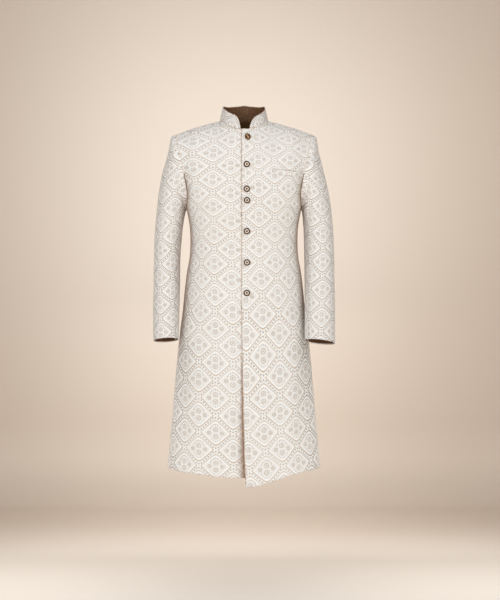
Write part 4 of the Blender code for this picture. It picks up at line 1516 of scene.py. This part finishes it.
def turned(profile):
    """A profile turned round its axis: its ring points in units of the button, and its faces."""
    rings, faces, kinds, starts = [], [], [], []
    angles = np.linspace(0, 2 * np.pi, BUTTON_SIDES, endpoint=False)
    start = 0
    for step in profile:
        count = 1 if step.reach == 0 else BUTTON_SIDES
        x, y = np.cos(angles[:count]) * step.reach, np.sin(angles[:count]) * step.reach
        rings.append(np.stack([x, y, np.full(count, step.height)], axis=1))
        starts.append((start, count))
        start += count
    for k in range(len(profile) - 1):
        (a, many_a), (b, many_b) = starts[k], starts[k + 1]
        for i in range(BUTTON_SIDES):
            j = (i + 1) % BUTTON_SIDES
            if many_a == 1:
                faces.append((a, b + j, b + i))
            elif many_b == 1:
                faces.append((a + i, a + j, b))
            else:
                faces.append((a + i, a + j, b + j, b + i))
            kinds.append(profile[k + 1].finish)
    return np.concatenate(rings), faces, kinds


SCROLL_WIDE, SCROLL_DEEP, SCROLL_LOWEST = 0.12, 0.0008, 0.0015
SCROLL_REACH, SCROLL_FADE = 0.80, 0.08
HOOK_PLACE, HOOK_ROUND, HOOK_MOUTH = 0.30, 0.28, 0.10
NO_LINE = 9.0


def scroll(points):
    """The cast scroll, 1 on its line and 0 away from it: two hooks that turn into each other."""
    x, y = points[:, 0], points[:, 1]
    line = np.full(len(x), NO_LINE)
    for sign in (1, -1):
        dx, dy = x * sign, y * sign - HOOK_PLACE
        on_ring = np.abs(np.hypot(dx, dy) - HOOK_ROUND)
        line = np.minimum(line, np.where((dx > 0) & (dy < HOOK_MOUTH), NO_LINE, on_ring))
    inside = ease((SCROLL_REACH - np.hypot(x, y)) / SCROLL_FADE)
    return np.exp(-((line / SCROLL_WIDE) ** 2)) * inside


seats = on_front(*np.array([[button.x, button.z] for button in BUTTONS]).T)
for number, button in enumerate(BUTTONS):
    oval = number == 0
    local, faces, kinds = turned(OVAL_BUTTON if oval else ROUND_BUTTON)
    tilt = math.radians(OVAL_TILT if oval else 0)
    rubbed = scroll(local) * (local[:, 2] > SCROLL_LOWEST) if oval else np.zeros(len(local))
    local[:, 2] += rubbed * SCROLL_DEEP
    across, upward, out = seats.across[number], seats.upward[number], seats.out[number]
    sideways = across * math.cos(tilt) + upward * math.sin(tilt)
    upright = upward * math.cos(tilt) - across * math.sin(tilt)
    points = seats.point[number] + out * BUTTON_GAP + local[:, :1] * button.half_width * sideways
    points = points + local[:, 1:2] * button.half_height * upright + local[:, 2:] * out
    name = f"button_{number + 1}"
    piece = new_mesh(f"{name}_turned", points.tolist(), faces, BUTTON_FINISHES, kinds)
    write_tone(piece, "rubbed", rubbed)
    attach(piece, "root")
    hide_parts(name)
print("buttons:", len(BUTTONS), "with", len(faces), "faces each")
# %% [markdown]
# ## Sewing
#
# A sherwani is finished by hand: a row of small prick stitches holds the front edge and the
# collar flat, each buttonhole is worked over with silk, and a fine cord edges the pocket. All
# of it is one thing laid along a path over and over, so one Geometry Nodes tree does all of it.
# It needs to know which way is out of the cloth, and the path carries that as an attribute.

# %% A tree that sews along a path
def sewing_tree():
    """Oval beads of thread along a path: its inputs are their spacing, sizes and slant."""
    tree = bpy.data.node_groups.new("sewing", "GeometryNodeTree")
    tree.interface.new_socket("Path", in_out="INPUT", socket_type="NodeSocketGeometry")
    for name in ("Spacing", "Length", "Width", "Slant"):
        tree.interface.new_socket(name, in_out="INPUT", socket_type="NodeSocketFloat")
    tree.interface.new_socket("Thread", in_out="INPUT", socket_type="NodeSocketMaterial")
    tree.interface.new_socket("Sewing", in_out="OUTPUT", socket_type="NodeSocketGeometry")
    entry = tree.nodes.new("NodeGroupInput")
    given = {socket.name: Value(tree, socket) for socket in entry.outputs if socket.name}
    start = Value(tree)
    curve = start.node("GeometryNodeMeshToCurve", {}, {0: given["Path"]})
    spaced = {"Curve": curve, "Length": given["Spacing"]}
    places = start.node("GeometryNodeCurveToPoints", {"mode": "LENGTH"}, spaced)
    tangent = Value(tree, places.socket.node.outputs["Tangent"])
    kind = {"data_type": "FLOAT_VECTOR"}
    out = start.node("GeometryNodeInputNamedAttribute", kind, {"Name": "out"})
    axes = {"primary_axis": "Z", "secondary_axis": "X"}
    facing = start.node("FunctionNodeAxesToRotation", axes, {0: out, 1: tangent})
    slanted = start.node("ShaderNodeCombineXYZ", {}, {2: given["Slant"]})
    slanted = start.node("FunctionNodeEulerToRotation", {}, {0: slanted})
    local = {"rotation_space": "LOCAL"}
    turned_by = start.node("FunctionNodeRotateRotation", local, {0: facing, 1: slanted})
    bead = start.node("GeometryNodeMeshUVSphere", {}, {"Segments": 8, "Rings": 5, "Radius": 0.5})
    long, wide = given["Length"], given["Width"]
    sizes = start.node("ShaderNodeCombineXYZ", {}, {0: long, 1: wide, 2: wide})
    laid = {"Points": places, "Instance": bead, "Rotation": turned_by, "Scale": sizes}
    beads = start.node("GeometryNodeInstanceOnPoints", {}, laid)
    made = start.node("GeometryNodeRealizeInstances", {}, {0: beads})
    made = start.node("GeometryNodeSetShadeSmooth", {}, {0: made})
    finish = {"Geometry": made, "Material": given["Thread"]}
    made = start.node("GeometryNodeSetMaterial", {}, finish)
    ending = tree.nodes.new("NodeGroupOutput")
    tree.links.new(made.socket, ending.inputs[0])
    return tree


SEWING = sewing_tree()
Stitch = namedtuple("Stitch", "spacing length width slant", defaults=(0.0,))


def sew(name, paths, stitch, thread):
    """Sews along paths of places with their directions out, and makes the result a plain mesh."""
    points = np.concatenate([path for path, _ in paths])
    outs = np.concatenate([out for _, out in paths])
    ends = np.cumsum([0] + [len(path) for path, _ in paths])
    edges = [(k, k + 1) for start, end in zip(ends, ends[1:]) for k in range(start, end - 1)]
    mesh = bpy.data.meshes.new(name + "_path")
    mesh.from_pydata(points.tolist(), edges, [])
    mesh.attributes.new("out", "FLOAT_VECTOR", "POINT").data.foreach_set("vector", outs.ravel())
    path = placed(name + "_path", mesh)
    modifier = path.modifiers.new("sewing", "NODES")
    modifier.node_group = SEWING
    values = dict(zip(("Spacing", "Length", "Width", "Slant", "Thread"), (*stitch, thread)))
    for socket in SEWING.interface.items_tree:
        if socket.item_type == "SOCKET" and socket.name in values:
            modifier[socket.identifier] = values[socket.name]
    ready = path.evaluated_get(bpy.context.evaluated_depsgraph_get())
    sewn = bpy.data.meshes.new_from_object(ready)
    path.modifiers.clear()
    bpy.data.objects.remove(path)
    sewn.name = name
    piece = placed(name, sewn)
    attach(piece, "root")
    length = sum(np.linalg.norm(np.diff(path, axis=0), axis=1).sum() for path, _ in paths)
    print(f"{name}: {len(sewn.polygons)} faces along {length * 1000:.0f} mm")


def thread_material(name, dark, light, roughness, clouds=900.0):
    """Silk thread, its light colour in small random clouds on its dark one."""
    return two_tone(name, dark, light, (clouds, 1.0), (0.32, 0.46), 1.0, Roughness=roughness)


CREAM_THREAD = thread_material("cream_thread", (228, 216, 198), (246, 238, 226), 0.5)
WHITE_CORD = thread_material("white_cord", (252, 251, 250), (255, 255, 255), 0.35)
TAN_THREAD = thread_material("tan_thread", (176, 146, 112), (208, 182, 150), 0.5)
SEAM_THREAD = thread_material("seam_thread", (226, 210, 190), (242, 232, 218), 0.6)
# Dark brown thread as painted shade: under the arms and in the pocket's mouth
SHADE_THREAD = thread_material("painted_shade_thread", (96, 68, 46), (132, 100, 72), 0.7)
# A light cord with dark patches of painted shadow, for the shade that the lap throws
EDGE_CORD_AND_SHADOW = thread_material("edge_cord_painted_shadow", (100, 70, 46), (226, 208, 184), 0.6, 95.0)

ARMHOLE_STITCH = Stitch(0.0011, 0.0026, 0.0018)
UNDERARM_STITCH = Stitch(0.0011, 0.0026, 0.0026)
NECK_STITCH = Stitch(0.0011, 0.0026, 0.0014)
EDGE_STITCH = Stitch(0.0009, 0.0022, 0.0016)
PRICK_STITCH = Stitch(0.0042, 0.0016, 0.0005)
MOUTH_STITCH = Stitch(0.0008, 0.0020, 0.0016)
CORD_STITCH = Stitch(0.0007, 0.0026, 0.0026, 0.3)
SILK_STITCH = Stitch(0.00062, 0.0017, 0.0006, math.radians(80))
SLIT_STITCH = Stitch(0.0008, 0.0014, 0.0003)
BAR_STITCH = Stitch(0.0006, 0.0014, 0.0007, math.radians(90))
MILLING = Stitch(0.00128, 0.0011, 0.0010)

# %% [markdown]
# The stitches follow lines that are already known: the seams where the sleeves are set in, columns
# of the left front's grid, the top of the collar's, the welt's upper edge, and short slits beside
# the buttons. A seam's thread lies low between its two cloths, so that only a warm line shows.
# Under each arm the thread is dark brown as painted shade, since the sleeve keeps the light off
# the lower half of its seam. The pocket's mouth is a line of it too, painted shadow in the opening.

# %% Seams, prick stitches, pocket cord and buttonholes
SEAM_SUNK = 0.0001
ARMHOLE_POINTS = 260
seam_turns = np.linspace(0, 360, ARMHOLE_POINTS)
UNDERARM_FRONT, UNDERARM_BACK = -0.165, -0.225
upper_seams, underarm_seams = [], []
for side, rings in ((RIGHT, RIGHT_SLEEVE), (LEFT, LEFT_SLEEVE)):
    on_seam = armhole(side, seam_turns) + np.array([side * ARMHOLE_GAP / 2, 0, 0])
    away = unit(on_seam - on_seam.mean(axis=0))
    sunk = on_seam - away * SEAM_SUNK
    underarm = np.where(sunk[:, 1] > 0, UNDERARM_BACK, UNDERARM_FRONT)
    high = np.flatnonzero(sunk[:, 2] >= underarm)
    low = np.concatenate([np.arange(high[-1], ARMHOLE_POINTS), np.arange(1, high[0] + 1)])
    print(f"underarm seam: {len(low)} of {ARMHOLE_POINTS} points")
    underarm_seams.append((sunk[low], away[low]))
    upper_seams.append((sunk[high], away[high]))
sew("armhole_seams", upper_seams, ARMHOLE_STITCH, SEAM_THREAD)
# The lower half of each armhole seam, in dark thread as painted shade
sew("underarm_seams", underarm_seams, UNDERARM_STITCH, SHADE_THREAD)

NECK_POINTS = 300
neck_turns = np.linspace(COLLAR_LEFT_END, 360 + COLLAR_RIGHT_END, NECK_POINTS)
neck_line = neck(neck_turns)
neck_out = unit((neck_line - np.array([0, NECK_Y, 0])) * np.array([1, 1, 0]))
sew("neck_seam", ((neck_line - neck_out * SEAM_SUNK, neck_out),), NECK_STITCH, SEAM_THREAD)

PRICK_INSET = 0.0045
EDGE_CORD_SUNK = 0.0009
EDGE_PRICKS, COLLAR_PRICKS, EDGE_CORD = slice(4, -6), slice(8, -8), slice(2, -2)


def line_inside(points, axis, inset):
    """A line of places at a set distance from a grid's first (or last, if below 0) line."""
    first, last = walked(points, axis)
    passed = first if inset > 0 else last
    index = np.expand_dims(np.argmin(np.abs(passed - abs(inset)), axis=axis), axis)
    last_index = points.shape[axis] - 1
    near_by = np.take_along_axis(passed, index, axis)
    beside = np.clip(index + np.where(near_by > abs(inset), -1, 1), 0, last_index)
    if inset < 0:
        beside = np.clip(2 * index - beside, 0, last_index)
    step = np.take_along_axis(passed, beside, axis) - near_by
    share = np.where(step == 0, 0, (abs(inset) - near_by) / np.where(step == 0, 1, step))
    found = []
    for grid in (points, outward(points)):
        a = np.take_along_axis(grid, index[..., None], axis)
        b = np.take_along_axis(grid, beside[..., None], axis)
        found.append(np.squeeze(a + (b - a) * share[..., None], axis))
    return found[0], unit(found[1])


_, left_points = left_front()
edge_path, edge_out = line_inside(left_points, 1, PRICK_INSET)
_, collar_points = collar()
top_path, top_out = line_inside(collar_points, 0, -PRICK_INSET)
prick_paths = (
    (edge_path[EDGE_PRICKS], edge_out[EDGE_PRICKS]),
    (top_path[COLLAR_PRICKS], top_out[COLLAR_PRICKS]),
)
# A cord sunk along the left front's edge; its dark patches are painted shadow
front_edge, front_out = left_points[EDGE_CORD, 0], outward(left_points)[EDGE_CORD, 1]
edge_cord = ((front_edge - front_out * EDGE_CORD_SUNK, front_out),)
sew("front_edge_cord", edge_cord, EDGE_STITCH, EDGE_CORD_AND_SHADOW)
sew("prick_stitches", prick_paths, PRICK_STITCH, CREAM_THREAD)

CORD_POINTS, CORD_OUT, MOUTH_ABOVE = 80, 0.75, 0.0020
cord_x = np.linspace(WELT_INNER.x, WELT_OUTER.x, CORD_POINTS)
cord_z = np.linspace(WELT_INNER.z, WELT_OUTER.z, CORD_POINTS)
cord_line = on_front(cord_x, cord_z)
cord_path = cord_line.point + cord_line.out * (SEAM + WELT_WALL * CORD_OUT)
# The pocket's mouth: a dark line of painted shadow just above the welt
mouth_path = cord_line.point + cord_line.upward * MOUTH_ABOVE
sew("pocket_mouth", ((mouth_path, cord_line.out),), MOUTH_STITCH, SHADE_THREAD)
sew("pocket_cord", ((cord_path, cord_line.out),), CORD_STITCH, WHITE_CORD)

SLIT_START, SLIT_END, SLIT_HALF, SLIT_RAISED = 0.004, 0.0215, 0.0009, 0.0001
SLIT_COLUMNS, BAR_POINTS, BAR_REACH = 30, 6, 1.9
across_slit = np.linspace(-SLIT_START, SLIT_END, SLIT_COLUMNS)
lines = np.array([[button.x, button.z] for button in BUTTONS])[:, :, None]
slit = on_front(lines[:, 0] + across_slit, lines[:, 1])
height = np.linspace(-SLIT_HALF * BAR_REACH, SLIT_HALF * BAR_REACH, BAR_POINTS)[:, None]
slits, rims, bars = [], [], []
for point, upward, out in zip(slit.point, slit.upward, slit.out):
    raised = point + out * SLIT_RAISED
    slits.append((raised, out))
    rims += [(raised + upward * SLIT_HALF * side, out) for side in (1, -1)]
    bars.append((point[-1] + upward[-1] * height, np.repeat(out[-1:], BAR_POINTS, axis=0)))
sew("buttonhole_silk", rims, SILK_STITCH, CREAM_THREAD)
sew("buttonhole_slits", slits, SLIT_STITCH, TAN_THREAD)
sew("buttonhole_bars", bars, BAR_STITCH, TAN_THREAD)

# %% [markdown]
# The round buttons' rims are milled: a ring of small beads, laid by the same tree.

# %% Milled rims
BEAD_RING, BEAD_HEIGHT, RING_STEPS = 0.83, 0.0033, 73
circle = np.linspace(0, 2 * np.pi, RING_STEPS)[:, None]
milled = []
for number in range(1, len(BUTTONS)):
    across, upward, out = seats.across[number], seats.upward[number], seats.out[number]
    ring = (across * np.cos(circle) + upward * np.sin(circle)) * ROUND_RADIUS * BEAD_RING
    ring = seats.point[number] + ring + out * (BUTTON_GAP + BEAD_HEIGHT)
    milled.append((ring, np.repeat(out[None, :], RING_STEPS, axis=0)))
sew("button_milling", milled, MILLING, BUTTON_FINISHES[METAL])

# %% [markdown]
# ## Floor, backdrop and light
#
# The coat hangs in front of a beige paper sweep: a floor that curves up into a wall, so there is
# no line behind it. Two large soft lights stand at the front and one hangs above. Small ones
# light the wall and the floor behind the coat, and a weak warm world fills in.

# %% Sweep and lights
FLOOR = -1.458
SWEEP_BACK = 2.0
SWEEP_ROUND = 0.35
SWEEP_FRONT, SWEEP_TOP, SWEEP_HALF_WIDE, SWEEP_STEPS = -6.0, 6.0, 8.0, 16
GLOW = Vector((-0.14, 0.0, -0.10))


def sweep_material():
    """Matt beige paper with painted light behind the coat and in front, painted shade low down."""
    material, shader, start = new_material("paper_sweep")
    place = start.node("ShaderNodeTexCoord", {}, {}, output=3)
    x, y, z = [start.node("ShaderNodeSeparateXYZ", {}, {0: place}, output=k) for k in range(3)]
    dx, dz = x - GLOW.x, (z - GLOW.z) * 0.75
    from_glow = (dx * dx + dz * dz).root()
    # Painted light and shade: lighter round GLOW, darker low on the wall and far floor, lighter
    # near
    colour = plain(start, linear(223, 212, 200))
    colour = colour.mixed(from_glow.step(0.1, 1.5), linear(199, 184, 169))
    colour = colour.mixed(z.step(-1.25, -1.42) * 0.30, linear(162, 148, 134))
    colour = colour.mixed(y.step(1.4, -0.4), linear(250, 243, 234))
    plug(shader, "Base Color", colour)
    shader.inputs["Roughness"].default_value = 0.9
    return material


def sweep():
    """The floor's and wall's section, drawn from front to top, and pulled out sideways."""
    curve = [(SWEEP_FRONT, FLOOR)]
    for k in range(SWEEP_STEPS + 1):
        angle = math.radians(90) * k / SWEEP_STEPS
        y = SWEEP_BACK - SWEEP_ROUND + SWEEP_ROUND * math.sin(angle)
        curve.append((y, FLOOR + SWEEP_ROUND * (1 - math.cos(angle))))
    curve.append((SWEEP_BACK, SWEEP_TOP))
    points = [(x, y, z) for x in (-SWEEP_HALF_WIDE, SWEEP_HALF_WIDE) for y, z in curve]
    count = len(curve)
    faces = [(k, count + k, count + k + 1, k + 1) for k in range(count - 1)]
    return new_mesh("sweep", points, faces, (sweep_material(),))


sweep()


def add_light(name, place, aim, size, power, colour):
    """A square soft light that looks at a point."""
    lamp = bpy.data.lights.new(name, "AREA")
    lamp.shape = "SQUARE"
    lamp.size, lamp.energy, lamp.color = size, power, colour
    thing = placed(name, lamp)
    thing.location = place
    thing.rotation_euler = (Vector(aim) - Vector(place)).to_track_quat("-Z", "Y").to_euler()
    thing.visible_camera = False


MIDDLE = (0.0, 0.0, -0.55)
WARM_WHITE = (1.0, 0.99, 0.975)
add_light("key", (-1.8, -3.6, 0.6), MIDDLE, 2.6, 47.5, (1.0, 0.995, 0.99))
add_light("fill", (2.4, -3.4, 0.0), MIDDLE, 2.8, 31.5, (1.0, 0.99, 0.98))
add_light("wall", (0.1, 0.75, -0.15), (0.1, 2.0, -0.45), 1.9, 12.6, WARM_WHITE)
add_light("top", (0.0, -1.2, 2.6), (0.0, 0.0, -0.2), 2.2, 7, WARM_WHITE)
add_light("floor", (0.0, 1.05, -0.45), (0.0, 0.95, FLOOR), 1.3, 4.0, WARM_WHITE)
for side in (LEFT, RIGHT):
    x = side * 0.9
    add_light(f"floor_{side}", (x, 0.1, -0.8), (x, 0.1, FLOOR), 0.8, 1.7, WARM_WHITE)

world = bpy.data.worlds.new("room")
world.use_nodes = True
background = world.node_tree.nodes["Background"]
background.inputs["Color"].default_value = (1.0, 0.985, 0.965, 1.0)
background.inputs["Strength"].default_value = 0.54
bpy.context.scene.world = world
bpy.context.scene.view_settings.view_transform = "Standard"
